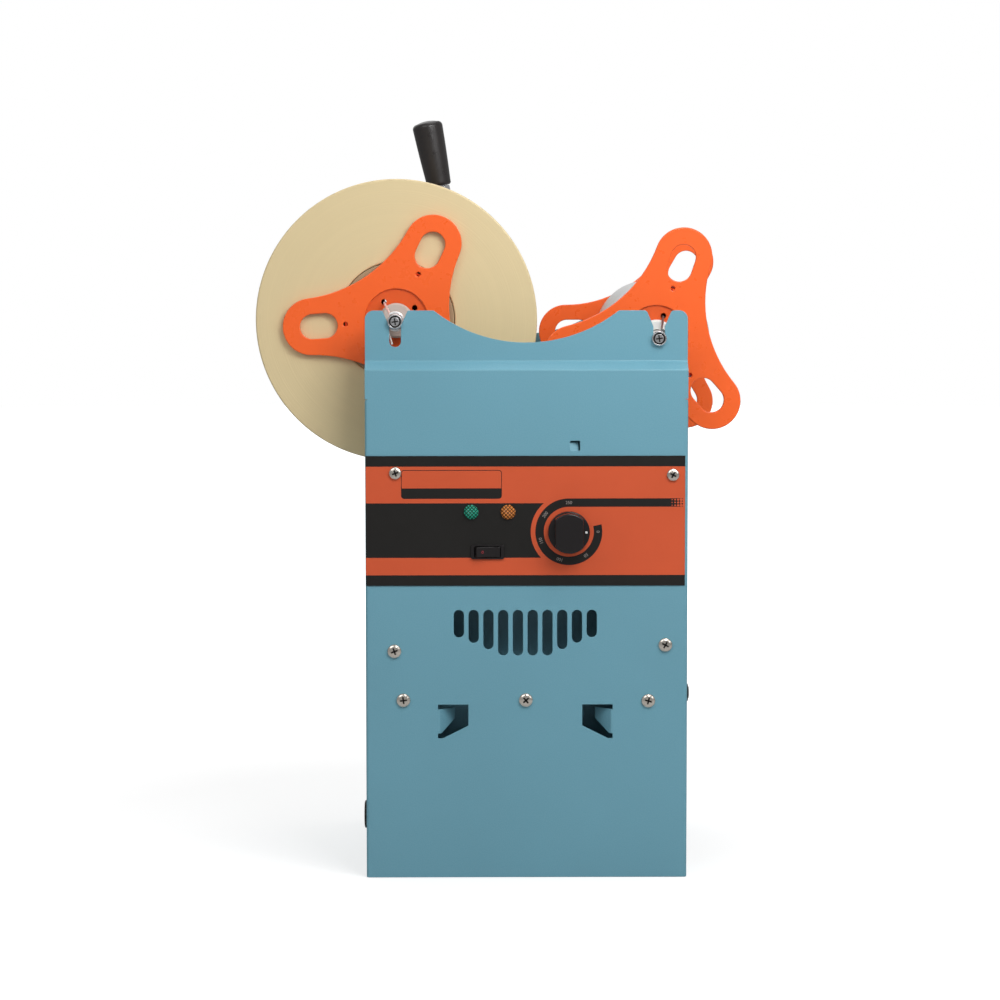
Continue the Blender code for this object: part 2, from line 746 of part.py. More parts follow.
def build_control_cover():
    cover = side_cover("control_cover", -1)
    cut(cover, through_cover("cover_windows", [window_outline(-1), window_outline(1)]))
    join(cover, window_tab(-1))
    join(cover, window_tab(1))
    cut(cover, through_cover("cover_vents", vent_outlines() + [mark_outline()]))
    screws = screw_outlines(LABEL_SCREWS, LABEL_TOP) + screw_outlines(COVER_SCREWS, VENT_TOP)
    cut(cover, through_cover("cover_screw_holes", screws))
    cut(cover, through_cover("cover_panel_holes", panel_outlines(RUNNING_GAP)))
    cut(cover, flange_hole("fuse_hole", FUSE_BODY_RADIUS + RUNNING_GAP, 1, FUSE_HEIGHT))
    cut(cover, flange_hole("gland_hole", GLAND_BODY_RADIUS + RUNNING_GAP, -1, GLAND_HEIGHT))
    return finish(cover, BLUE_PAINT, 0.45)


def build_drive_cover():
    cover = side_cover("drive_cover", 1)
    holes = screw_outlines(COVER_SCREWS, VENT_TOP)
    holes.append(circle(DRIVE_X, DRIVE_Z, bearing_radius() + SEAT_GAP, 14))
    cut(cover, through_cover("drive_cover_holes", holes, side=1))
    return finish(cover, BLUE_PAINT, 0.45)


def bearing_radius():
    return DRIVE_RADIUS + RUNNING_GAP + BEARING_WALL


def head_slot(name, side):
    """A cutter for the slot in which an arm of the head travels up and down."""
    half = BOSS_RADIUS + SLIDE_ROOM
    foot = CARRIER_FOOT - BOSS_BELOW - STROKE - 2 * SLIDE_ROOM
    top = CARRIER_TOP + BOSS_ABOVE + SLIDE_ROOM
    inner, outer = BAY_HALF - SHEET, POST_Y
    low, high = sorted((side * inner, side * outer))
    return box(name, HEAD_X - half, HEAD_X + half, low, high, foot, top)


def build_inner_wall(name, side):
    """Bay wall with a foot on the base, a roof that slopes out and a tab along the cover."""
    wall_y = side * (BAY_HALF + SHEET / 2)
    tab_y = side * (COVER_BACK_Y - SEAT_GAP - SHEET / 2)
    foot_z = SHEET + SEAT_GAP + SHEET / 2
    roof_top = ROOF_FOOT + abs(tab_y - wall_y)
    profile = [
        (wall_y + side * WALL_FOOT_WIDTH, foot_z),
        (wall_y, foot_z),
        (wall_y, ROOF_FOOT),
        (tab_y, roof_top),
        (tab_y, roof_top + ROOF_TAB),
    ]
    half = HALF_LENGTH - SHEET - SEAT_GAP
    wall = folded_sheet(name, profile, -half, half)
    middle = (0, wall_y, 0)
    hole = bearing_radius() + SEAT_GAP
    journal = ROLLER_JOURNAL_RADIUS + RUNNING_GAP
    holes = {"bearing": (DRIVE_X, DRIVE_Z, hole, 14)}
    holes["rear_journal"] = (REAR_ROLLER_X, ROLLER_Z, journal, 10)
    holes["front_journal"] = (FRONT_ROLLER_X, ROLLER_Z, journal, 10)
    for label, (x, z, radius, segments) in holes.items():
        centre = (x, wall_y, z)
        cut(wall, cylinder(f"{name}_{label}", radius, 4 * SHEET, centre, "near", segments))
    cut(wall, head_slot(f"{name}_head_slot", side))
    return finish(wall, BLUE_PAINT, 0.45)


def build_housing():
    build_control_cover()
    build_drive_cover()
    build_inner_wall("control_inner_wall", -1)
    build_inner_wall("drive_inner_wall", 1)
    half = HALF_LENGTH - SHEET - SEAT_GAP
    width = COVER_BACK_Y - SEAT_GAP
    rim = rectangle(-half, half, -width, width, BEND)
    finish(plate("base_plate", [rim], SHEET, (0, 0, SHEET / 2)), BLUE_PAINT, 0.5)
    panel_x = -HALF_LENGTH + SHEET / 2
    top = SUPPLY_Z - ROLL_RADIUS - REAR_PANEL_ROOM
    profile = [(panel_x, SHEET + SEAT_GAP), (panel_x, top), (panel_x + REAR_PANEL_LIP, top)]
    reach = BAY_HALF - SEAT_GAP
    finish(folded_sheet("rear_panel", profile, -reach, reach, "Y"), BLUE_PAINT, 0.45)


# Control panel
def build_label():
    left, right = -HALF_LENGTH + LABEL_REAR_INSET, HALF_LENGTH - LABEL_FRONT_INSET
    outlines = [rectangle(left, right, LABEL_FOOT, LABEL_TOP)] + panel_outlines(RUNNING_GAP)
    outlines += screw_outlines(LABEL_SCREWS, LABEL_TOP)
    middle = (0, -(COVER_Y + SEAT_GAP + LABEL_THICKNESS / 2), 0)
    label = plate("control_label", outlines, LABEL_THICKNESS, middle, "near")
    return finish(label, LABEL_ORANGE, 0.4)


def panel_front():
    """Y of what sits on the label, counted outwards from the middle plane."""
    return COVER_Y + 2 * SEAT_GAP + LABEL_THICKNESS


def build_knob():
    """Temperature knob: a round skirt and a crown with two flats, on a steel shaft."""
    lift = panel_front() + SEAT_GAP
    bore, depth = KNOB_SHAFT_RADIUS + SEAT_GAP, 0.75 * KNOB_HEIGHT
    edge = 0.0012
    profile = [
        (0, KNOB_HEIGHT),
        (KNOB_CROWN_RADIUS - edge, KNOB_HEIGHT),
        (KNOB_CROWN_RADIUS, KNOB_HEIGHT - edge),
        (KNOB_CROWN_RADIUS, KNOB_SKIRT),
        (KNOB_RADIUS, KNOB_SKIRT - edge),
        (KNOB_RADIUS, 0),
        (bore, 0),
        (bore, depth),
        (0, depth),
    ]
    knob = turned("temperature_knob", profile, (DIAL_X, -lift, DIAL_Z), "near", 20)
    for hand in (-1, 1):
        near_x, far_x = sorted((DIAL_X + hand * KNOB_FLAT, DIAL_X + hand * 2 * KNOB_RADIUS))
        flat = box(
            f"knob_flat_{hand + 1}",
            near_x,
            far_x,
            -lift - 2 * KNOB_HEIGHT,
            -lift - KNOB_SKIRT,
            DIAL_Z - 2 * KNOB_RADIUS,
            DIAL_Z + 2 * KNOB_RADIUS,
        )
        cut(knob, flat)
    finish(knob, BLACK_PLASTIC, 0.25)
    start = COVER_BACK_Y - 0.5 * CONTROLLER_DEPTH
    length = lift + depth - SEAT_GAP - start
    centre = (DIAL_X, -(start + length / 2), DIAL_Z)
    shaft = cylinder("knob_shaft", KNOB_SHAFT_RADIUS, length, centre, "near", 12)
    finish(shaft, STEEL, 0.35, 1.0)
    carry("knob_axis", (DIAL_X, -lift, DIAL_Z), [knob, shaft])


def build_controller():
    """Capillary temperature controller behind the panel, held by its bush in the cover."""
    back = COVER_BACK_Y - SEAT_GAP
    body = box(
        "temperature_controller",
        DIAL_X - CONTROLLER_HALF_WIDTH,
        DIAL_X + CONTROLLER_HALF_WIDTH,
        -back,
        -back + CONTROLLER_DEPTH,
        DIAL_Z - CONTROLLER_HALF_HEIGHT,
        DIAL_Z + CONTROLLER_HALF_HEIGHT,
    )
    tip = panel_front() - SEAT_GAP
    start = back - SHEET
    centre = (DIAL_X, -(start + tip) / 2, DIAL_Z)
    join(body, cylinder("controller_bush", CONTROLLER_BUSH_RADIUS, tip - start, centre, "near", 12))
    bore_start = COVER_BACK_Y - 0.5 * CONTROLLER_DEPTH - SEAT_GAP
    reach = tip + SHEET - bore_start
    centre = (DIAL_X, -(bore_start + reach / 2), DIAL_Z)
    bore = cylinder("controller_bore", KNOB_SHAFT_RADIUS + SEAT_GAP, reach, centre, "near", 12)
    return finish(cut(body, bore), BLACK_PLASTIC, 0.6)


def build_switch():
    """Rocker switch: a body through the cover with a bezel, and the rocker in its well."""
    z = LABEL_TOP - SWITCH_DROP
    front = panel_front()
    pivot_y = -(front + 0.2 * SHEET)
    body = box(
        "switch_body",
        SWITCH_X - SWITCH_HALF_WIDTH,
        SWITCH_X + SWITCH_HALF_WIDTH,
        -front - BEZEL_THICKNESS / 2,
        -front + SWITCH_DEPTH,
        z - SWITCH_HALF_HEIGHT,
        z + SWITCH_HALF_HEIGHT,
    )
    rim = rectangle(
        SWITCH_X - BEZEL_HALF_WIDTH,
        SWITCH_X + BEZEL_HALF_WIDTH,
        z - BEZEL_HALF_HEIGHT,
        z + BEZEL_HALF_HEIGHT,
        BEZEL_THICKNESS,
    )
    join(body, plate("bezel", [rim], BEZEL_THICKNESS, (0, -front - BEZEL_THICKNESS / 2, 0), "near"))
    well = box(
        "switch_well",
        SWITCH_X - ROCKER_RADIUS - RUNNING_GAP,
        SWITCH_X + ROCKER_RADIUS + RUNNING_GAP,
        -front - 2 * BEZEL_THICKNESS,
        pivot_y + 0.7 * ROCKER_RADIUS,
        z - ROCKER_HALF_HEIGHT - SEAT_GAP,
        z + ROCKER_HALF_HEIGHT + SEAT_GAP,
    )
    finish(cut(body, well), BLACK_PLASTIC, 0.35)
    dish = 0.22 * ROCKER_RADIUS
    outline = arc(0, 0, ROCKER_RADIUS, -25, 20, 4) + [(0, dish)]
    outline += arc(0, 0, ROCKER_RADIUS, 160, 205, 4)
    lean = Matrix.Rotation(math.radians(-ROCKER_TILT), 2)
    outline = [tuple(lean @ Vector(point)) for point in outline]
    rocker = plate("switch_rocker", [outline], 2 * ROCKER_HALF_HEIGHT)
    rocker.matrix_world = Matrix.Translation((SWITCH_X, pivot_y, z)) @ Matrix.Rotation(math.pi, 4, "X")
    finish(rocker, BLACK_PLASTIC, 0.3)
    carry("rocker_axis", (SWITCH_X, pivot_y, z), [rocker])


def build_lamp(name, x, colour):
    """Pilot lamp: a lens that stands on the label and a body through the cover."""
    profile = [(0, LAMP_DOME)]
    for angle in (60, 30):
        reach = LAMP_RADIUS * math.cos(math.radians(angle))
        profile.append((reach, LAMP_DOME * (0.4 + 0.6 * math.sin(math.radians(angle)))))
    profile += [(LAMP_RADIUS, 0.4 * LAMP_DOME), (LAMP_RADIUS, 0), (LAMP_BODY_RADIUS, 0)]
    profile += [(LAMP_BODY_RADIUS, -LAMP_DEPTH), (0, -LAMP_DEPTH)]
    centre = (x, -panel_front(), LABEL_TOP - LAMP_DROP)
    return finish(turned(name, profile, centre, "near", 12), colour, 0.15)


def build_flange_fittings():
    """The fuse holder in front and the cord gland at the rear of the control-side box."""
    middle_y = -(WALL_OUT + COVER_Y) / 2
    seat = HALF_LENGTH + SEAT_GAP
    cap = [
        (0, FUSE_STAND_OUT),
        (0.8 * FUSE_RADIUS, FUSE_STAND_OUT),
        (FUSE_RADIUS, 0.6 * FUSE_STAND_OUT),
        (FUSE_RADIUS, 0),
        (FUSE_BODY_RADIUS, 0),
        (FUSE_BODY_RADIUS, -FUSE_DEPTH),
        (0, -FUSE_DEPTH),
    ]
    holder = turned("fuse_holder", cap, (seat, middle_y, FUSE_HEIGHT), "front", 12)
    finish(holder, BLACK_PLASTIC, 0.4)
    collar = [
        (GLAND_RADIUS, GLAND_STAND_OUT),
        (GLAND_RADIUS, 0),
        (GLAND_BODY_RADIUS, 0),
        (GLAND_BODY_RADIUS, -GLAND_DEPTH),
        (GLAND_BORE_RADIUS, -GLAND_DEPTH),
        (GLAND_BORE_RADIUS, GLAND_STAND_OUT),
    ]
    gland = turned("cord_gland", collar, (-seat, middle_y, GLAND_HEIGHT), "rear", 12)
    finish(gland, BLACK_PLASTIC, 0.5)


def build_terminal_block():
    """Terminal strip on the base: a row of ways between low walls."""
    foot, top = SHEET + SEAT_GAP, SHEET + SEAT_GAP + TERMINAL_HEIGHT
    pitch = TERMINAL_LENGTH / TERMINAL_WAYS
    wall, low = 0.15 * pitch, 0.6 * TERMINAL_HEIGHT
    start = -HALF_LENGTH + TERMINAL_INSET
    outline = [(start + TERMINAL_LENGTH, foot), (start, foot)]
    for way in range(TERMINAL_WAYS):
        left = start + way * pitch
        outline += [(left, top), (left + wall, top), (left + wall, foot + low)]
        outline += [(left + pitch - wall, foot + low), (left + pitch - wall, top)]
    outline.append((start + TERMINAL_LENGTH, top))
    outline = [point for number, point in enumerate(outline) if point not in outline[:number]]
    centre = (0, -(WALL_OUT + COVER_Y) / 2 - 0.2 * TERMINAL_WIDTH, 0)
    return finish(plate("terminal_block", [outline], TERMINAL_WIDTH, centre, "near"), WHITE_PLASTIC, 0.5)


def build_control_panel():
    build_label()
    build_knob()
    build_controller()
    build_switch()
    build_lamp("heat_lamp", HEAT_LAMP_X, GREEN_LENS)
    build_lamp("temperature_lamp", TEMPERATURE_LAMP_X, AMBER_LENS)
    build_flange_fittings()
    build_terminal_block()


# Press head
def crank_pin(angle=CRANK_START):
    """X and Z of the crank pins with the cranks at this angle above the horizontal."""
    turn = math.radians(angle)
    return DRIVE_X + CRANK_LENGTH * math.cos(turn), DRIVE_Z + CRANK_LENGTH * math.sin(turn)


def lug_outlines():
    """A lug of the head carrier with the level slot that its crank pin runs in."""
    rest_x, pin_z = crank_pin()
    far_x = DRIVE_X + CRANK_LENGTH
    half_height = CRANK_PIN_RADIUS + PIN_SLOT_PLAY
    slot_start = (rest_x - PIN_SLOT_PLAY, pin_z)
    slot_end = (far_x + PIN_SLOT_PLAY, pin_z)
    slot = link(slot_start, half_height, slot_end, half_height, 4)
    rim = half_height + LUG_RIM
    left, right = rest_x - rim, far_x + rim
    foot = CARRIER_TOP - CARRIER_THICKNESS / 3
    shoulder = fillet([(left, foot), (left, pin_z + rim), (right, pin_z + rim), (right, foot)], rim / 2)
    return [shoulder, slot]


def build_head_carrier():
    """Round plate with an arm and a boss to each guide post and two slotted lugs on top."""
    middle = (CARRIER_TOP + CARRIER_FOOT) / 2
    radius = BLADE_OUTER + SEAT_GAP
    carrier = cylinder("head_carrier", radius, CARRIER_THICKNESS, (HEAD_X, 0, middle), segments=32)
    half = ARM_WIDTH / 2
    arms = box("head_arms", HEAD_X - half, HEAD_X + half, -POST_Y, POST_Y, CARRIER_FOOT, CARRIER_TOP)
    join(carrier, arms)
    boss_height = BOSS_ABOVE + CARRIER_THICKNESS + BOSS_BELOW
    boss_z = CARRIER_FOOT - BOSS_BELOW + boss_height / 2
    lug_y = CRANK_Y + CRANK_WIDTH / 2 + LUG_GAP + LUG_THICKNESS / 2
    for label, side in SIDES.items():
        centre = (HEAD_X, side * POST_Y, boss_z)
        join(carrier, cylinder(f"head_boss_{label}", BOSS_RADIUS, boss_height, centre, segments=12))
        join(carrier, plate(f"lug_{label}", lug_outlines(), LUG_THICKNESS, (0, side * lug_y, 0), "near"))
        bore = POST_RADIUS + RUNNING_GAP
        cut(carrier, cylinder(f"head_bore_{label}", bore, 2 * boss_height, centre, segments=12))
    return finish(carrier, STEEL, 0.4, 1.0)


def build_heating_block():
    """Cast block with a raised sealing rim round its lower face."""
    rim = CUP_RIM_RADIUS - 2 * BLOCK_MARGIN
    edge = 0.001
    profile = [
        (0, BLOCK_TOP),
        (BLOCK_RADIUS - edge, BLOCK_TOP),
        (BLOCK_RADIUS, BLOCK_TOP - edge),
        (BLOCK_RADIUS, BLOCK_FOOT + edge),
        (BLOCK_RADIUS - edge, BLOCK_FOOT),
        (rim, BLOCK_FOOT),
        (rim - BLOCK_RECESS, BLOCK_FOOT + BLOCK_RECESS),
        (0, BLOCK_FOOT + BLOCK_RECESS),
    ]
    return finish(turned("heating_block", profile, (HEAD_X, 0, 0), steps=26), ALUMINIUM, 0.45, 1.0)


def build_insulation_plate():
    radius = BLOCK_RADIUS - INSULATION_INSET
    holes = [circle(*arc(0, 0, 0.7 * radius, a, a, 1)[0], 0.05 * radius, 6) for a in (45, 135, 225, 315)]
    centre = (HEAD_X, 0, INSULATION_TOP - INSULATION_THICKNESS / 2)
    rim = circle(0, 0, radius, 24)
    insulation = plate("insulation_plate", [rim] + holes, INSULATION_THICKNESS, centre)
    return finish(insulation, CARDBOARD, 0.8)


def build_cutting_blade():
    """A thin ring round the block with saw teeth along its lower edge."""
    top = CARRIER_FOOT - SEAT_GAP
    foot = BLOCK_FOOT - BLADE_HANG
    count = 2 * BLADE_TEETH
    bm = bmesh.new()
    upper, lower = [], []
    for number in range(count):
        angle = 2 * math.pi * number / count
        x, y = BLADE_OUTER * math.cos(angle), BLADE_OUTER * math.sin(angle)
        upper.append(bm.verts.new((x, y, top)))
        lower.append(bm.verts.new((x, y, foot + BLADE_TOOTH * (number % 2))))
    join_rows(bm, lower + lower[:1], upper + upper[:1])
    blade = new_object("cutting_blade", mesh_of(bm, "cutting_blade"))
    thicken(place(blade, (HEAD_X, 0, 0)), BLADE_THICKNESS, -1.0)
    return finish(blade, STEEL, 0.25, 1.0)


def bracket_heights():
    """Middle height of the lower and the upper flange of a post bracket."""
    lower = CARRIER_FOOT - STROKE - BLOCK_HEIGHT - BRACKET_FOOT_RISE
    return lower, ROOF_FOOT - BRACKET_TOP_DROP


def build_post_bracket(label, side):
    """Folded bracket on the outside of a bay wall that holds a post at both ends."""
    lower, upper = bracket_heights()
    web_y = side * (WALL_OUT + SEAT_GAP + SHEET / 2)
    reach_y = web_y + side * BRACKET_REACH
    profile = [(reach_y, lower), (web_y, lower), (web_y, upper), (reach_y, upper)]
    name = f"post_bracket_{label}"
    bracket = folded_sheet(name, profile, HEAD_X - BRACKET_HALF_WIDTH, HEAD_X + BRACKET_HALF_WIDTH)
    cut(bracket, head_slot(f"{name}_slot", side))
    hole = POST_RADIUS + SEAT_GAP
    centre = (HEAD_X, side * POST_Y, (lower + upper) / 2)
    cut(bracket, cylinder(f"{name}_holes", hole, upper - lower + 4 * SHEET, centre, segments=12))
    return finish(bracket, STEEL, 0.4, 1.0)


def build_guide_post(label, side):
    """Post that hangs by its head on the upper flange of its bracket."""
    lower, upper = bracket_heights()
    seat = upper + SHEET / 2 + SEAT_GAP
    profile = [
        (0, seat + POST_HEAD_HEIGHT),
        (POST_HEAD_RADIUS, seat + POST_HEAD_HEIGHT),
        (POST_HEAD_RADIUS, seat),
        (POST_RADIUS, seat),
        (POST_RADIUS, lower - POST_TAIL),
        (0, lower - POST_TAIL),
    ]
    post = turned(f"guide_post_{label}", profile, (HEAD_X, side * POST_Y, 0), steps=12)
    return finish(post, CHROME, 0.15, 1.0)


def build_return_spring(label, side):
    """Compression spring round a post, between the lower flange and the head's boss."""
    lower, _ = bracket_heights()
    start = lower + SHEET / 2 + SEAT_GAP + SPRING_WIRE_RADIUS
    end = CARRIER_FOOT - BOSS_BELOW - SEAT_GAP - SPRING_WIRE_RADIUS
    radius = POST_RADIUS + SPRING_GAP + SPRING_WIRE_RADIUS
    count = SPRING_TURNS * SPRING_POINTS_PER_TURN
    points = []
    for number in range(count + 1):
        angle = 2 * math.pi * number / SPRING_POINTS_PER_TURN
        x, y = HEAD_X + radius * math.cos(angle), side * POST_Y + radius * math.sin(angle)
        points.append((x, y, start + (end - start) * number / count))
    return finish(wire(f"return_spring_{label}", points, SPRING_WIRE_RADIUS), STEEL, 0.3, 1.0)


def build_press_head():
    build_head_carrier()
    build_insulation_plate()
    build_heating_block()
    build_cutting_blade()
    for label, side in SIDES.items():
        build_post_bracket(label, side)
        build_guide_post(label, side)
        build_return_spring(label, side)


# Drive and lever
def build_drive_shaft():
    """Shaft across the bay with two welded cranks, each with a pin."""
    near_end = -(WALL_OUT + BEARING_LENGTH)
    far_end = COVER_Y + BEARING_FLANGE + LEVER_HUB_LENGTH
    centre = (DRIVE_X, (near_end + far_end) / 2, DRIVE_Z)
    shaft = cylinder("drive_shaft", DRIVE_RADIUS, far_end - near_end, centre, "near", 14)
    pin_x, pin_z = crank_pin()
    outline = link((DRIVE_X, DRIVE_Z), CRANK_HUB_RADIUS, (pin_x, pin_z), CRANK_TIP_RADIUS, 6)
    reach = CRANK_WIDTH / 2 + LUG_GAP + LUG_THICKNESS + SLIDE_ROOM
    for label, side in SIDES.items():
        centre = (0, side * CRANK_Y, 0)
        join(shaft, plate(f"crank_{label}", [outline], CRANK_WIDTH, centre, "near"))
        centre = (pin_x, side * (CRANK_Y + reach / 2), pin_z)
        join(shaft, cylinder(f"crank_pin_{label}", CRANK_PIN_RADIUS, reach, centre, "near", 8))
    return finish(shaft, STEEL, 0.35, 1.0)


def build_bearing(name, side, seat_y):
    """Flanged bush whose flange lies against a wall, outside seat_y when side is +1."""
    outer, inner = bearing_radius(), DRIVE_RADIUS + RUNNING_GAP
    profile = [
        (BEARING_FLANGE_RADIUS, BEARING_FLANGE),
        (BEARING_FLANGE_RADIUS, 0),
        (outer, 0),
        (outer, -BEARING_LENGTH),
        (inner, -BEARING_LENGTH),
        (inner, BEARING_FLANGE),
    ]
    facing = "far" if side > 0 else "near"
    bearing = turned(name, profile, (DRIVE_X, seat_y, DRIVE_Z), facing, 12)
    return finish(bearing, BRONZE, 0.35, 1.0)


def lever_point(reach, y=0.0):
    """World point on the lever's axis at this distance from the drive shaft."""
    lean = math.radians(LEVER_LEAN)
    return Vector((DRIVE_X - reach * math.sin(lean), y, DRIVE_Z + reach * math.cos(lean)))


def lean_with_lever(made, y):
    """Stands a piece, modelled from the shaft's axis upwards, on the lever's axis."""
    lean = Matrix.Rotation(math.radians(-LEVER_LEAN), 4, "Y")
    made.matrix_world = Matrix.Translation((DRIVE_X, y, DRIVE_Z)) @ lean
    return made


def build_lever():
    hub_start = COVER_Y + SEAT_GAP + BEARING_FLANGE + SEAT_GAP
    middle_y = hub_start + LEVER_HUB_LENGTH / 2
    centre = (DRIVE_X, middle_y, DRIVE_Z)
    hub = cylinder("lever_hub", LEVER_HUB_RADIUS, LEVER_HUB_LENGTH, centre, "near", 18)
    socket = cylinder("lever_socket", LEVER_SOCKET_RADIUS, LEVER_SOCKET_REACH, (0, 0, 0), segments=14)
    lean_with_lever(socket, middle_y)
    socket.matrix_world.translation = lever_point(LEVER_SOCKET_REACH / 2 + SEAT_GAP, middle_y)
    join(hub, socket)
    bore_length = LEVER_HUB_LENGTH
    bore_end = COVER_Y + BEARING_FLANGE + LEVER_HUB_LENGTH + SEAT_GAP
    bore_centre = (DRIVE_X, bore_end - bore_length, DRIVE_Z)
    cut(hub, cylinder("hub_bore", DRIVE_RADIUS + SEAT_GAP, 2 * bore_length, bore_centre, "near", 14))
    rod_bore = cylinder("rod_bore", LEVER_ROD_RADIUS + SEAT_GAP, LEVER_SOCKET_REACH, (0, 0, 0), segments=12)
    lean_with_lever(rod_bore, middle_y)
    start = LEVER_ROD_START - SEAT_GAP
    rod_bore.matrix_world.translation = lever_point(start + LEVER_SOCKET_REACH / 2, middle_y)
    finish(cut(hub, rod_bore), STEEL, 0.35, 1.0)

    grip_foot = LEVER_REACH - GRIP_LENGTH
    rod_end = grip_foot + GRIP_BORE_DEPTH - SEAT_GAP
    edge = 0.1 * LEVER_ROD_RADIUS
    rod_profile = [
        (0, rod_end),
        (LEVER_ROD_RADIUS - edge, rod_end),
        (LEVER_ROD_RADIUS, rod_end - edge),
        (LEVER_ROD_RADIUS, LEVER_ROD_START),
        (0, LEVER_ROD_START),
    ]
    rod = lean_with_lever(turned("lever_rod", rod_profile, (0, 0, 0), steps=14), middle_y)
    finish(rod, CHROME, 0.12, 1.0)

    nut_foot = grip_foot - NUT_HEIGHT - SEAT_GAP
    bore = LEVER_ROD_RADIUS + SEAT_GAP
    nut = plate("lever_nut", [circle(0, 0, NUT_RADIUS, 6), circle(0, 0, bore)], NUT_HEIGHT)
    lean_with_lever(nut, middle_y)
    nut.matrix_world.translation = lever_point(nut_foot + NUT_HEIGHT / 2, middle_y)
    finish(nut, CHROME, 0.2, 1.0)

    crown = GRIP_TOP_RADIUS
    profile = [(0, LEVER_REACH)]
    for angle in (70, 50, 30, 10):
        turn = math.radians(angle)
        profile.append((crown * math.cos(turn), LEVER_REACH - 0.75 * crown * (1 - math.sin(turn))))
    profile += [
        (crown, LEVER_REACH - crown),
        ((crown + GRIP_FOOT_RADIUS) / 2, grip_foot + 0.4 * GRIP_LENGTH),
        (GRIP_FOOT_RADIUS, grip_foot + 0.05 * GRIP_LENGTH),
        (0.85 * GRIP_FOOT_RADIUS, grip_foot),
        (bore, grip_foot),
        (bore, grip_foot + GRIP_BORE_DEPTH),
        (0, grip_foot + GRIP_BORE_DEPTH),
    ]
    grip = lean_with_lever(turned("lever_grip", profile, (0, 0, 0), steps=14), middle_y)
    finish(grip, BLACK_PLASTIC, 0.35)
    return [hub, rod, nut, grip]


def build_drive():
    shaft = build_drive_shaft()
    for label, side in SIDES.items():
        build_bearing(f"shaft_bearing_{label}", -side, side * (BAY_HALF - SEAT_GAP))
    build_bearing("shaft_bearing_outer", 1, COVER_Y + SEAT_GAP)
    carry("lever_axis", (DRIVE_X, 0, DRIVE_Z), [shaft] + build_lever())


# Cup tray
def build_tray():
    """Tray plate with a hole for the mould and a lip folded down in front."""
    middle = (TRAY_TOP + TRAY_FOOT) / 2
    front = HALF_LENGTH - TRAY_LIP_SETBACK
    profile = [(HEAD_X - TRAY_REAR, middle), (front, middle), (front, middle - TRAY_LIP)]
    half = BAY_HALF - SEAT_GAP - SHEET - RUNNING_GAP
    tray = folded_sheet("cup_tray", profile, -half, half, "Y")
    tray.modifiers["sheet"].thickness = TRAY_THICKNESS
    hole = mould_skirt_radius() + RUNNING_GAP
    cut(tray, cylinder("tray_hole", hole, 6 * TRAY_THICKNESS, (HEAD_X, 0, middle), segments=32))
    finish(tray, STEEL, 0.35, 1.0)
    seat = front + TRAY_THICKNESS / 2 + SEAT_GAP
    edge = 0.001
    profile = [
        (0, PULL_LENGTH),
        (PULL_RADIUS - edge, PULL_LENGTH),
        (PULL_RADIUS, PULL_LENGTH - edge),
        (PULL_RADIUS, 0.45 * PULL_LENGTH),
        (PULL_STEM_RADIUS, 0.3 * PULL_LENGTH),
        (PULL_STEM_RADIUS, 0),
        (0, 0),
    ]
    pull_z = middle - TRAY_LIP / 2
    finish(turned("tray_pull", profile, (seat, 0, pull_z), "front", 14), BLACK_PLASTIC, 0.4)


def mould_skirt_radius():
    return GROOVE_OUTER


def build_mould():
    """Mould ring: a flange on the tray, a groove for the blade, a gasket seat and a skirt."""
    seat_radius = MOULD_BORE + GASKET_WIDTH + 2 * SEAT_GAP
    skirt = mould_skirt_radius()
    foot = MOULD_FOOT - MOULD_SKIRT
    profile = [
        (GROOVE_OUTER, MOULD_TOP),
        (MOULD_RADIUS, MOULD_TOP),
        (MOULD_RADIUS, MOULD_FOOT),
        (skirt, MOULD_FOOT),
        (skirt, foot),
        (MOULD_BORE, foot),
        (MOULD_BORE, MOULD_TOP - GASKET_SINK),
        (seat_radius, MOULD_TOP - GASKET_SINK),
        (seat_radius, MOULD_TOP),
        (GROOVE_INNER, MOULD_TOP),
        (GROOVE_INNER, MOULD_TOP - GROOVE_DEPTH),
        (GROOVE_OUTER, MOULD_TOP - GROOVE_DEPTH),
    ]
    finish(turned("mould_ring", profile, (HEAD_X, 0, 0), steps=28), ALUMINIUM, 0.4, 1.0)
    low = MOULD_TOP - GASKET_SINK + SEAT_GAP
    high = low + GASKET_THICKNESS
    inner = MOULD_BORE + SEAT_GAP
    ring = [(inner + GASKET_WIDTH, high), (inner + GASKET_WIDTH, low), (inner, low), (inner, high)]
    finish(turned("mould_gasket", ring, (HEAD_X, 0, 0), steps=28), RED_RUBBER, 0.7)


def build_rail(label, side):
    """Channel on a bay wall: a narrow lip over the tray's edge and a shelf under it."""
    web_y = side * (BAY_HALF - SEAT_GAP - SHEET / 2)
    lip_z = TRAY_TOP + RUNNING_GAP + SHEET / 2
    shelf_z = TRAY_FOOT - SEAT_GAP - SHEET / 2
    profile = [
        (web_y - side * RAIL_LIP, lip_z),
        (web_y, lip_z),
        (web_y, shelf_z),
        (web_y - side * RAIL_SHELF, shelf_z),
    ]
    half = HALF_LENGTH - RAIL_SETBACK
    rail = folded_sheet(f"tray_rail_{label}", profile, -half, half, bend=0.6 * SHEET)
    return finish(rail, STEEL, 0.35, 1.0)


def build_cup_station():
    build_tray()
    build_mould()
    for label, side in SIDES.items():
        build_rail(label, side)


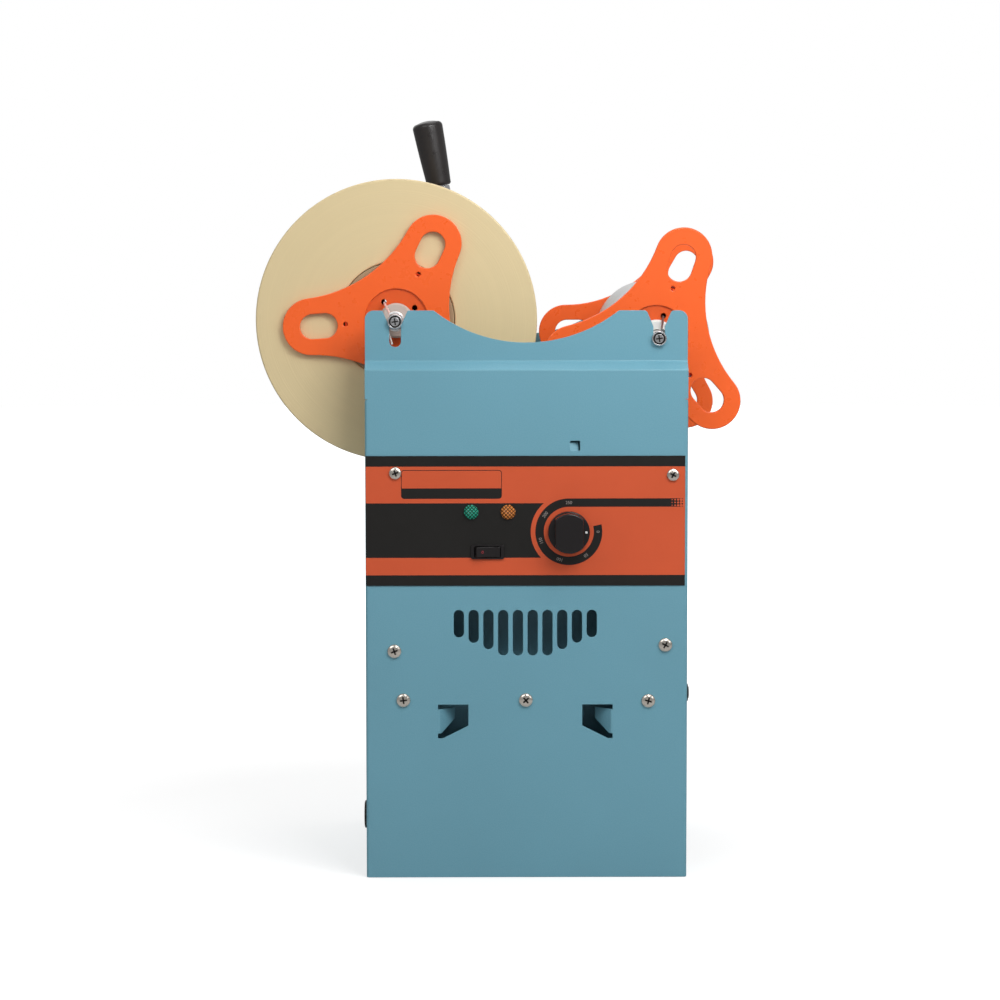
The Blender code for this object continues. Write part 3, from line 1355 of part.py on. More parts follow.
# Film path
def build_roller(name, x):
    """Steel roller with a journal in each bay wall."""
    body, end = BAY_HALF - ROLLER_END_ROOM, WALL_OUT + SHEET
    edge = 0.0005
    profile = [
        (0, end),
        (ROLLER_JOURNAL_RADIUS, end),
        (ROLLER_JOURNAL_RADIUS, body),
        (ROLLER_RADIUS - edge, body),
        (ROLLER_RADIUS, body - edge),
    ]
    profile += [(radius, -height) for radius, height in reversed(profile)]
    roller = turned(name, profile, (x, 0, ROLLER_Z), "near", 12)
    carry(name + "_axis", (x, 0, ROLLER_Z), [finish(roller, STEEL, 0.25, 1.0)])


def flange_outline(angle):
    """Three round-ended arms joined by hollow waists."""
    hollow = (TIP_CENTRE**2 + WAIST**2 - TIP_CENTRE * WAIST - TIP_RADIUS**2) / (
        2 * TIP_RADIUS + TIP_CENTRE - 2 * WAIST
    )
    hollow_centre = WAIST + hollow
    half_sweep = math.degrees(math.asin(TIP_CENTRE * math.sin(math.pi / 3) / (hollow + TIP_RADIUS)))
    outline = []
    for arm in range(3):
        heading = angle + 120 * arm
        tip = arc(0, 0, TIP_CENTRE, heading, heading, 1)[0]
        outline += arc(*tip, TIP_RADIUS, heading - 60 - half_sweep, heading + 60 + half_sweep, 8)
        waist = arc(0, 0, hollow_centre, heading + 60, heading + 60, 1)[0]
        facing_back = heading + 240
        outline += arc(*waist, hollow, facing_back + half_sweep, facing_back - half_sweep, 5)[1:-1]
    return outline


def flange_holes(angle, hub_angle):
    """Finger slots, small arm holes, hub holes and the bore."""
    holes = [circle(0, 0, AXLE_RADIUS + SEAT_GAP)]
    half = (FINGER_SLOT_LENGTH - FINGER_SLOT_WIDTH) / 2
    end = FINGER_SLOT_WIDTH / 2
    for arm in range(3):
        heading = angle + 120 * arm
        inner = arc(0, 0, FINGER_SLOT_CENTRE - half, heading, heading, 1)[0]
        outer = arc(0, 0, FINGER_SLOT_CENTRE + half, heading, heading, 1)[0]
        holes.append(link(inner, end, outer, end, 4))
        small = arc(0, 0, ARM_HOLE_CENTRE, heading, heading, 1)[0]
        holes.append(circle(*small, ARM_HOLE_RADIUS, 5))
    for quarter in range(4):
        centre = arc(0, 0, HUB_HOLE_CENTRE, hub_angle + 90 * quarter, 0, 1)[0]
        holes.append(circle(*centre, HUB_HOLE_RADIUS, 5))
    return holes


def build_flange(name, side, axle_x, axle_z, angle, hub_angle):
    """Moulded reel flange: arms, a sunk hub face and a ribbed spigot that fits the core."""
    middle_y = side * (FLANGE_BACK + FLANGE_THICKNESS / 2)
    centre = (axle_x, middle_y, axle_z)
    outlines = [flange_outline(angle)] + flange_holes(angle, hub_angle)
    flange = plate(name, outlines, FLANGE_THICKNESS, centre, "near")
    root = FLANGE_BACK + FLANGE_THICKNESS / 3
    tip = FLANGE_BACK - SPIGOT_LENGTH
    spigot_y = side * (root + tip) / 2
    ring = [circle(0, 0, SPIGOT_RADIUS, 16), circle(0, 0, SPIGOT_RADIUS - SPIGOT_WALL, 16)]
    join(flange, plate(name + "_spigot", ring, root - tip, (axle_x, spigot_y, axle_z), "near"))
    rib_start = SPIGOT_RADIUS - SPIGOT_WALL / 2
    rib_end = (CORE_RADIUS - CORE_WALL) * math.cos(math.pi / CORE_STEPS) - SEAT_GAP
    for arm in range(3):
        heading = math.radians(angle + 120 * arm)
        along = Vector((math.cos(heading), math.sin(heading)))
        across = Vector((-along.y, along.x)) * SPIGOT_RIB / 2
        corners = [along * rib_start - across, along * rib_end - across]
        corners += [along * rib_end + across, along * rib_start + across]
        outline = [tuple(corner) for corner in corners]
        rib_y = spigot_y + side * SPIGOT_RIB / 8
        rib = plate(f"{name}_rib_{arm}", [outline], root - tip, (axle_x, rib_y, axle_z), "near")
        join(flange, rib)
    sunk = (axle_x, side * FLANGE_FACE, axle_z)
    recess = cylinder(name + "_recess", HUB_RECESS_RADIUS, 2 * HUB_RECESS_DEPTH, sunk, "near", 16)
    return finish(cut(flange, recess), REEL_ORANGE, 0.3)


def build_axle(name, x, z):
    """Rod between the ears with a neck in each notch and a screw head outside it."""
    shoulder, seat = EAR_BACK_Y - SEAT_GAP, EAR_Y + SEAT_GAP
    end = seat + AXLE_HEAD_HEIGHT
    profile = [
        (0, end),
        (0.7 * AXLE_HEAD_RADIUS, end),
        (AXLE_HEAD_RADIUS, seat),
        (AXLE_NECK_RADIUS, seat),
        (AXLE_NECK_RADIUS, shoulder),
        (AXLE_RADIUS, shoulder),
    ]
    profile += [(radius, -height) for radius, height in reversed(profile)]
    return finish(turned(name, profile, (x, 0, z), "near", 12), STEEL, 0.3, 1.0)


def build_collar(name, side, x, z):
    """Plastic collar that keeps a flange on its axle."""
    inner = AXLE_RADIUS + SEAT_GAP
    foot = FLANGE_FACE - HUB_RECESS_DEPTH + SEAT_GAP
    edge = 0.0006
    profile = [
        (COLLAR_RADIUS - edge, COLLAR_LENGTH),
        (COLLAR_RADIUS, COLLAR_LENGTH - edge),
        (COLLAR_RADIUS, 0),
        (inner, 0),
        (inner, COLLAR_LENGTH),
    ]
    facing = "far" if side > 0 else "near"
    collar = turned(name, profile, (x, side * foot, z), facing, 12)
    return finish(collar, WHITE_PLASTIC, 0.5)


def build_drive_wire(name, x, z, angle, tail):
    """Wire hooked in a hub hole of the near flange and wound once round the axle."""
    loop_y = -(EAR_BACK_Y - 2 * SADDLE_THICKNESS)
    loop = AXLE_RADIUS + DRIVE_WIRE_RADIUS + SEAT_GAP
    hook = HUB_HOLE_CENTRE - HUB_HOLE_RADIUS + DRIVE_WIRE_RADIUS + RUNNING_GAP
    collar_front = -(FLANGE_FACE - HUB_RECESS_DEPTH + COLLAR_LENGTH + 2 * SEAT_GAP)
    bend = COLLAR_RADIUS + DRIVE_WIRE_RADIUS + RUNNING_GAP
    spots = [(hook, angle, -(FLANGE_BACK + FLANGE_THICKNESS / 4)), (hook, angle, -FLANGE_FACE)]
    spots += [(bend, angle, collar_front), (loop, angle, loop_y)]
    spots += [(loop, angle - 30 * step, loop_y) for step in range(1, 11)]
    if tail:
        spots.append((SUPPLY_SLOT_DEPTH - SUPPLY_AXLE_DROP - 2 * DRIVE_WIRE_RADIUS, 262, loop_y))
    points = []
    for reach, heading, y in spots:
        turn = math.radians(heading)
        points.append((x + reach * math.cos(turn), y, z + reach * math.sin(turn)))
    return finish(wire(name, points, DRIVE_WIRE_RADIUS), STEEL, 0.3, 1.0)


def build_core(name, x, z, colour):
    half = FILM_HALF - SEAT_GAP
    inner = CORE_RADIUS - CORE_WALL
    profile = [(CORE_RADIUS, half), (CORE_RADIUS, -half), (inner, -half), (inner, half)]
    return finish(turned(name, profile, (x, 0, z), "near", CORE_STEPS), colour, 0.8)


def build_film_roll():
    half = FILM_HALF - SEAT_GAP
    inner = CORE_RADIUS + SEAT_GAP
    edge = 0.0008
    profile = [
        (ROLL_RADIUS - edge, half),
        (ROLL_RADIUS, half - edge),
        (ROLL_RADIUS, edge - half),
        (ROLL_RADIUS - edge, -half),
        (inner, -half),
        (inner, half),
    ]
    return finish(turned("film_roll", profile, (SUPPLY_X, 0, SUPPLY_Z), "near", 48), FILM_CREAM, 0.35)


def build_saddle(label, side):
    """Plate behind an ear whose seat carries the supply axle above the ear's slot."""
    seat = AXLE_RADIUS + SEAT_GAP
    slot = SLOT_HALF_WIDTH + SEAT_GAP
    lean = math.degrees(math.acos(slot / seat))
    foot, top = SUPPLY_Z - SADDLE_REACH, EAR_TOP - SHEET
    slot_foot = EAR_TOP - SUPPLY_SLOT_DEPTH
    x = SUPPLY_X
    mouth = NOTCH_HALF_WIDTH
    inner = [(x - mouth, top)] + arc(x, SUPPLY_Z, seat, 180, 180 + lean, 4)
    inner += arc(x, slot_foot + slot, slot, 180, 360, 6)
    inner += arc(x, SUPPLY_Z, seat, 360 - lean, 360, 4) + [(x + mouth, top)]
    outline = [(x - SADDLE_HALF_WIDTH, foot), (x - SADDLE_HALF_WIDTH, top)] + inner
    outline += [(x + SADDLE_HALF_WIDTH, top), (x + SADDLE_HALF_WIDTH, foot)]
    middle_y = side * (EAR_BACK_Y - SEAT_GAP - SADDLE_THICKNESS / 2)
    saddle = plate(f"supply_saddle_{label}", [outline], SADDLE_THICKNESS, (0, middle_y, 0), "near")
    return finish(saddle, STEEL, 0.4, 1.0)


def build_reel(kind, x, z, near_angle, hub_angle, far_angle, core_colour):
    """Axle, flanges, collars, core and drive wire of one reel."""
    pieces = [build_axle(f"{kind}_axle", x, z)]
    angles = {"near": (near_angle, hub_angle), "far": (far_angle, far_angle)}
    for label, side in SIDES.items():
        pieces.append(build_flange(f"{kind}_flange_{label}", side, x, z, *angles[label]))
        pieces.append(build_collar(f"{kind}_collar_{label}", side, x, z))
    pieces.append(build_core(f"{kind}_core", x, z, core_colour))
    return pieces


def build_film_path():
    build_roller("guide_roller_rear", REAR_ROLLER_X)
    build_roller("guide_roller_front", FRONT_ROLLER_X)
    hub_angle = SUPPLY_NEAR_ANGLE - 120
    supply = build_reel(
        "supply", SUPPLY_X, SUPPLY_Z, SUPPLY_NEAR_ANGLE, hub_angle, SUPPLY_FAR_ANGLE, CARDBOARD
    )
    supply.append(build_drive_wire("supply_drive_wire", SUPPLY_X, SUPPLY_Z, hub_angle + 180, True))
    supply.append(build_film_roll())
    carry("supply_axis", (SUPPLY_X, 0, SUPPLY_Z), supply)
    takeup = build_reel(
        "takeup", TAKEUP_X, TAKEUP_Z, TAKEUP_NEAR_ANGLE, TAKEUP_NEAR_ANGLE, TAKEUP_FAR_ANGLE, WHITE_PLASTIC
    )
    takeup.append(build_drive_wire("takeup_drive_wire", TAKEUP_X, TAKEUP_Z, TAKEUP_NEAR_ANGLE, False))
    carry("takeup_axis", (TAKEUP_X, 0, TAKEUP_Z), takeup)
    for label, side in SIDES.items():
        build_saddle(label, side)


build_housing()
build_control_panel()
build_press_head()
build_drive()
build_cup_station()
build_film_path()
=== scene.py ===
"""Looks of a cup sealing machine with a hand lever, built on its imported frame.

The X axis runs from the rear of the machine to its front, where cups go in. The control
panel faces -Y, the lever is on the +Y side and Z is up. Lengths are in metres and angles in
degrees. Each sub-assembly is a class that holds its own sizes, builds its meshes in the row
frame and sets them on the bodies that carry them.
"""

import logging
import math
from collections.abc import Callable, Iterable, Iterator, Mapping, Sequence
from contextlib import contextmanager
from dataclasses import dataclass, field
from enum import Enum

import bmesh
import bpy
from mathutils import Matrix, Vector


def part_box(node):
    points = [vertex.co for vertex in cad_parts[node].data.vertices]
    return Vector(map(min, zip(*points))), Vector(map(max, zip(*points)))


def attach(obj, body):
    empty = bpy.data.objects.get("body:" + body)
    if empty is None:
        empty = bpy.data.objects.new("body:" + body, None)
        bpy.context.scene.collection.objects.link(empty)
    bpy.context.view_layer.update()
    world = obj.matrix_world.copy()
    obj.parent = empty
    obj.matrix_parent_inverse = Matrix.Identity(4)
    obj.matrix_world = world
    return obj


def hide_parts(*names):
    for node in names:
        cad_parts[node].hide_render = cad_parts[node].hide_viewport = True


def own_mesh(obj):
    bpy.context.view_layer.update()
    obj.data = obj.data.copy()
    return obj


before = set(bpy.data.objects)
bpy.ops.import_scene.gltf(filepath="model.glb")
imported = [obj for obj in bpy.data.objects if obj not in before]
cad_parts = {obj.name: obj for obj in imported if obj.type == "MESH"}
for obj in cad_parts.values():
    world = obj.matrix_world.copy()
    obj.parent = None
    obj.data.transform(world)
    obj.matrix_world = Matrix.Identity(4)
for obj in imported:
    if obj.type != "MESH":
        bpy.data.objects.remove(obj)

LOG = logging.getLogger("cup_sealing_machine")

Flat = tuple[float, float]
Space = tuple[float, float, float]
Colour = tuple[float, float, float]
Outline = list[Flat]
Socket = bpy.types.NodeSocket

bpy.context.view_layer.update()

SEAT = 0.0003
MERGE_REACH = 1e-6
ON_AXIS = 1e-7
PLATE_FLAT_ANGLE = 0.001
CUT_FLAT_ANGLE = 0.002
WELD_REACH = 0.00001
SHARP_ANGLE = 50.0


class Body(Enum):
    """The moving bodies of the machine."""

    FRAME = "frame"
    LEVER = "lever"
    HEAD = "head"
    TRAY = "tray"
    SUPPLY = "supply_reel"
    TAKEUP = "takeup_reel"
    REAR_ROLLER = "rear_roller"
    FRONT_ROLLER = "front_roller"
    KNOB = "knob"
    ROCKER = "rocker"


class Slot(Enum):
    """The material slots of the record."""

    BLUE_PAINT = "blue_paint"
    LABEL_ORANGE = "label_orange"
    REEL_ORANGE = "reel_orange"
    FILM = "film"
    CARDBOARD = "cardboard"
    BOARD = "board"
    BLACK_PLASTIC = "black_plastic"
    BLACK_GLOSS = "black_gloss"
    WHITE_PLASTIC = "white_plastic"
    STEEL = "steel"
    CHROME = "chrome"
    ALUMINIUM = "aluminium"
    BRONZE = "bronze"
    RUBBER = "rubber"
    GREEN_LENS = "green_lens"
    AMBER_LENS = "amber_lens"


class Side(Enum):
    """The two sides of the machine, as the sign of Y."""

    NEAR = -1
    FAR = 1


class Facing(Enum):
    """Where the local Z axis of a piece points."""

    NEAR = Matrix.Rotation(math.pi / 2, 4, "X")
    FAR = Matrix.Rotation(math.pi, 4, "Z") @ Matrix.Rotation(math.pi / 2, 4, "X")
    FRONT = Matrix.Rotation(math.pi / 2, 4, "Y")
    REAR = Matrix.Rotation(-math.pi / 2, 4, "Y")

    def at(self, place: Sequence[float]) -> Matrix:
        """The matrix that stands a piece at the place with this facing."""
        return Matrix.Translation(place) @ self.value

    @classmethod
    def of(cls, side: Side) -> "Facing":
        """The facing that looks out of this side."""
        return cls.FAR if side is Side.FAR else cls.NEAR


def spin(angle: float) -> Matrix:
    """A turn about the local Z axis, in degrees."""
    return Matrix.Rotation(math.radians(angle), 4, "Z")


def middle_of(node: str) -> Space:
    """Middle of a node's box."""
    return tuple((low + high) / 2 for low, high in zip(*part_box(node)))


# Outlines


def arc(centre: Flat, radius: float, start: float, end: float, steps: int) -> Outline:
    """Points along an arc, both ends included.

    Args:
        centre: Middle of the arc.
        radius: Its radius.
        start: Angle of the first point, in degrees.
        end: Angle of the last point, in degrees.
        steps: Number of chords.

    Returns:
        The points in order.
    """
    points = []
    for step in range(steps + 1):
        turn = math.radians(start + (end - start) * step / steps)
        points.append((centre[0] + radius * math.cos(turn), centre[1] + radius * math.sin(turn)))
    return points


def circle(centre: Flat, radius: float, steps: int = 48) -> Outline:
    """A closed ring of points."""
    return arc(centre, radius, 0, 360, steps)[:-1]


def polar(radius: float, angle: float) -> Flat:
    """The point at this distance and angle from the middle."""
    return (radius * math.cos(math.radians(angle)), radius * math.sin(math.radians(angle)))


def belt(first: Flat, second: Flat, first_radius: float, second_radius: float, steps: int = 14) -> Outline:
    """The outline of a belt laid round two circles.

    Args:
        first: Centre of the first circle.
        second: Centre of the second circle.
        first_radius: Radius of the first circle.
        second_radius: Radius of the second circle.
        steps: Chords at each end.

    Returns:
        The closed outline.
    """
    run = math.dist(first, second)
    heading = math.degrees(math.atan2(second[1] - first[1], second[0] - first[0]))
    spread = math.degrees(math.acos((first_radius - second_radius) / run))
    tip = arc(second, second_radius, heading - spread, heading + spread, steps)
    return tip + arc(first, first_radius, heading + spread, heading + 360 - spread, steps)


def rounded(points: Outline, radius: float, steps: int = 4, closed: bool = True) -> Outline:
    """The line through the points with each corner rounded as far as its sides allow.

    Args:
        points: Corners of the line.
        radius: Wanted radius.
        steps: Chords of each rounded corner.
        closed: Whether the last point joins the first.

    Returns:
        The rounded line.
    """
    count = len(points)
    made: Outline = []
    for number, corner in enumerate(points):
        if not closed and number in (0, count - 1):
            made.append(corner)
            continue
        here = Vector(corner)
        back = Vector(points[number - 1]) - here
        ahead = Vector(points[(number + 1) % count]) - here
        half_angle = back.angle(ahead) / 2
        if half_angle > math.radians(89):
            made.append(corner)
            continue
        reach = min(radius / math.tan(half_angle), 0.45 * back.length, 0.45 * ahead.length)
        true_radius = reach * math.tan(half_angle)
        back.normalize()
        ahead.normalize()
        middle = here + (back + ahead).normalized() * (true_radius / math.sin(half_angle))
        first = here + back * reach - middle
        sweep = first.angle_signed(here + ahead * reach - middle)
        for step in range(steps + 1):
            made.append(tuple(middle + Matrix.Rotation(-sweep * step / steps, 2) @ first))
    return made


def rectangle(left: float, right: float, foot: float, top: float, corner: float = 0.0) -> Outline:
    """A rectangle, with rounded corners where a corner radius is given."""
    points = [(left, foot), (right, foot), (right, top), (left, top)]
    return rounded(points, corner, 6) if corner else points


def rod_section(radius: float, start: float, end: float) -> Outline:
    """The section of a plain rod or of a round hole, from start to end."""
    return [(0, start), (radius, start), (radius, end), (0, end)]


def ring_section(outer: float, inner: float, top: float, foot: float) -> Outline:
    """The section of a plain ring."""
    return [(outer, top), (outer, foot), (inner, foot), (inner, top)]


def mirrored(half: Outline) -> Outline:
    """A section that is the same on both sides of the middle plane."""
    return half + [(radius, -height) for radius, height in reversed(half)]


# Meshes


def drawn(curve: bpy.types.Curve) -> bmesh.types.BMesh:
    """The mesh of a curve that is used up."""
    holder = bpy.data.objects.new("drawing", curve)
    bpy.context.scene.collection.objects.link(holder)
    bpy.context.view_layer.update()
    shaped = holder.evaluated_get(bpy.context.evaluated_depsgraph_get())
    mesh = bpy.data.meshes.new_from_object(shaped)
    bm = bmesh.new()
    bm.from_mesh(mesh)
    bpy.data.objects.remove(holder)
    bpy.data.meshes.remove(mesh)
    bmesh.ops.remove_doubles(bm, verts=bm.verts, dist=MERGE_REACH)
    return bm


def bridge(bm: bmesh.types.BMesh, rings: Sequence[list[bmesh.types.BMVert]], hollow: bool = False) -> None:
    """Joins rings of points by faces, with triangles where a ring is a single point.

    Args:
        bm: The mesh.
        rings: The rings in order, all with the same count of points.
        hollow: Whether the last ring joins the first.
    """
    count = len(rings[0])
    for lower, upper in zip(rings, rings[1:] + rings[:1] if hollow else rings[1:]):
        for step in range(count):
            after = (step + 1) % count
            corners = [lower[step], lower[after], upper[after], upper[step]]
            kept = [vert for number, vert in enumerate(corners) if vert not in corners[:number]]
            if len(kept) > 2:
                bm.faces.new(kept)


class Blank:
    """A mesh under construction in the row frame, before it becomes a piece."""

    def __init__(self, bm: bmesh.types.BMesh) -> None:
        """Takes over the bmesh and stands it at the origin."""
        mesh = bpy.data.meshes.new("blank")
        bm.to_mesh(mesh)
        bm.free()
        self.holder = bpy.data.objects.new("blank", mesh)
        bpy.context.scene.collection.objects.link(self.holder)

    @classmethod
    def plate(cls, outlines: Sequence[Outline], thickness: float, edge: float = 0.0) -> "Blank":
        """A flat plate in the XY plane, half its thickness to either side.

        Args:
            outlines: The rim first, then the holes.
            thickness: Thickness of the plate.
            edge: Radius of its edges.

        Returns:
            The plate.
        """
        curve = bpy.data.curves.new("drawing", "CURVE")
        curve.dimensions = "2D"
        curve.fill_mode = "BOTH"
        curve.extrude = thickness / 2 - edge
        curve.bevel_depth = edge
        curve.bevel_resolution = 1
        curve.offset = -edge
        for outline in outlines:
            spline = curve.splines.new("POLY")
            spline.points.add(len(outline) - 1)
            for point, (x, y) in zip(spline.points, outline):
                point.co = (x, y, 0, 1)
            spline.use_cyclic_u = True
        bm = drawn(curve)
        bmesh.ops.dissolve_limit(bm, angle_limit=PLATE_FLAT_ANGLE, verts=bm.verts, edges=bm.edges)
        bmesh.ops.recalc_face_normals(bm, faces=bm.faces)
        return cls(bm)

    @classmethod
    def turned(cls, profile: Outline, steps: int = 72, soft: float = 0.0, hollow: bool = False) -> "Blank":
        """A turned piece about Z.

        Args:
            profile: Pairs of radius and height along its section.
            steps: Faces round the axis.
            soft: Radius that rounds the corners of the section.
            hollow: Whether the section closes on itself, as a ring's does.

        Returns:
            The piece.
        """
        if soft:
            profile = rounded(profile, soft, 3, hollow)
        bm = bmesh.new()
        rings = []
        for radius, height in profile:
            if radius < ON_AXIS:
                rings.append([bm.verts.new((0, 0, height))] * steps)
            else:
                rings.append([bm.verts.new((x, y, height)) for x, y in circle((0, 0), radius, steps)])
        bridge(bm, rings, hollow)
        bmesh.ops.recalc_face_normals(bm, faces=bm.faces)
        return cls(bm)

    @classmethod
    def box(cls, low: Sequence[float], high: Sequence[float]) -> "Blank":
        """A block between two corners, to be cut, joined or rounded."""
        bm = bmesh.new()
        low, high = Vector(low), Vector(high)
        size = Matrix.Diagonal((*(high - low), 1))
        bmesh.ops.create_cube(bm, size=1.0, matrix=Matrix.Translation((low + high) / 2) @ size)
        return cls(bm)

    @classmethod
    def tube(cls, points: Sequence[Space], radius: float, sides: int = 12) -> "Blank":
        """A round wire along a line of points, with flat ends.

        Args:
            points: Points of its middle line.
            radius: Radius of the wire.
            sides: Faces round it.

        Returns:
            The wire.
        """
        bm = bmesh.new()
        spots = [Vector(point) for point in points]
        ways = [(after - before).normalized() for before, after in zip(spots, spots[1:])]
        ways = [ways[0]] + [(a + b).normalized() for a, b in zip(ways, ways[1:])] + [ways[-1]]
        across = ways[0].orthogonal().normalized()
        rings = []
        for spot, way in zip(spots, ways):
            across = (across - way * across.dot(way)).normalized()
            other = way.cross(across)
            ring = circle((0, 0), radius, sides)
            rings.append([bm.verts.new(spot + across * a + other * b) for a, b in ring])
        bridge(bm, rings)
        bm.faces.new(rings[0])
        bm.faces.new(rings[-1])
        bmesh.ops.recalc_face_normals(bm, faces=bm.faces)
        return cls(bm)

    @contextmanager
    def edit(self) -> Iterator[bmesh.types.BMesh]:
        """Opens the mesh and writes it back when the work is done."""
        bm = bmesh.new()
        bm.from_mesh(self.holder.data)
        yield bm
        bm.to_mesh(self.holder.data)
        bm.free()

    def settle(self) -> "Blank":
        """Applies what modifiers the blank carries."""
        bpy.context.view_layer.update()
        done = self.holder.evaluated_get(bpy.context.evaluated_depsgraph_get())
        mesh = bpy.data.meshes.new_from_object(done)
        self.holder.modifiers.clear()
        self.holder.data = mesh
        return self

    def move(self, matrix: Matrix) -> "Blank":
        """Moves the mesh itself by the matrix."""
        self.holder.data.transform(matrix)
        if matrix.determinant() < 0:
            self.holder.data.flip_normals()
        return self

    def reshape(
        self, cuts: Sequence[tuple[Space, Space]], place: Callable[[float, float, float], Vector]
    ) -> "Blank":
        """Scores the mesh along planes and moves each of its points.

        Args:
            cuts: A point and the normal of each plane.
            place: Gives the new place of a point.

        Returns:
            The blank.
        """
        with self.edit() as bm:
            for spot, normal in cuts:
                parts = bm.verts[:] + bm.edges[:] + bm.faces[:]
                bmesh.ops.bisect_plane(bm, geom=parts, plane_co=spot, plane_no=normal, dist=1e-7)
            for vert in bm.verts:
                vert.co = place(*vert.co)
            bmesh.ops.recalc_face_normals(bm, faces=bm.faces)
        return self

    def combine(self, tool: "Blank", operation: str) -> "Blank":
        """Cuts or joins another blank, which is used up."""
        step = self.holder.modifiers.new("combine", "BOOLEAN")
        step.operation = operation
        step.solver = "EXACT"
        step.object = tool.holder
        self.settle()
        bpy.data.objects.remove(tool.holder)
        return self.clean()

    def cut(self, tool: "Blank") -> "Blank":
        """Cuts the tool away."""
        return self.combine(tool, "DIFFERENCE")

    def join(self, tool: "Blank") -> "Blank":
        """Joins the tool on."""
        return self.combine(tool, "UNION")

    def clean(self) -> "Blank":
        """Merges doubled points and flat neighbours."""
        with self.edit() as bm:
            bmesh.ops.remove_doubles(bm, verts=bm.verts, dist=MERGE_REACH)
            bmesh.ops.dissolve_limit(bm, angle_limit=CUT_FLAT_ANGLE, verts=bm.verts, edges=bm.edges)
        return self

    def soften(self, width: float, segments: int = 2, angle: float = 45.0) -> "Blank":
        """Rounds the edges that are sharper than an angle."""
        step = self.holder.modifiers.new("soften", "BEVEL")
        step.width = width
        step.segments = segments
        step.limit_method = "ANGLE"
        step.angle_limit = math.radians(angle)
        step.use_clamp_overlap = False
        return self.settle()

    def with_islands(self, *others: "Blank") -> "Blank":
        """Adds other blanks as separate islands of the same mesh."""
        with self.edit() as bm:
            for other in others:
                bm.from_mesh(other.holder.data)
                bpy.data.objects.remove(other.holder)
        return self

    def piece(
        self,
        name: str,
        finish: "Finish",
        body: Body,
        stands_for: Iterable[str] = (),
        sharp: float = SHARP_ANGLE,
    ) -> bpy.types.Object:
        """Turns the blank into a finished piece on its body.

        Args:
            name: Name of the piece.
            finish: What its surface looks like.
            body: The body that carries it.
            stands_for: The nodes it is shown instead of.
            sharp: Edges sharper than this angle stay crisp.

        Returns:
            The piece.
        """
        made = self.holder
        made.name = made.data.name = name
        made.data.materials.clear()
        made.data.materials.append(finish.material())
        even_shading(made, sharp)
        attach(made, body.value)
        nodes = tuple(stands_for)
        if nodes:
            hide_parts(*nodes)
        LOG.info("%s: %d faces, on %s", name, len(made.data.polygons), body.value)
        return made


def even_shading(made: bpy.types.Object, sharp: float) -> None:
    """Smooths a mesh by its larger faces and keeps its sharpest edges."""
    made.data.shade_smooth()
    made.data.set_sharp_from_angle(angle=math.radians(sharp))
    step = made.modifiers.new("shading", "WEIGHTED_NORMAL")
    step.keep_sharp = True
    step.weight = 90


# Finishes


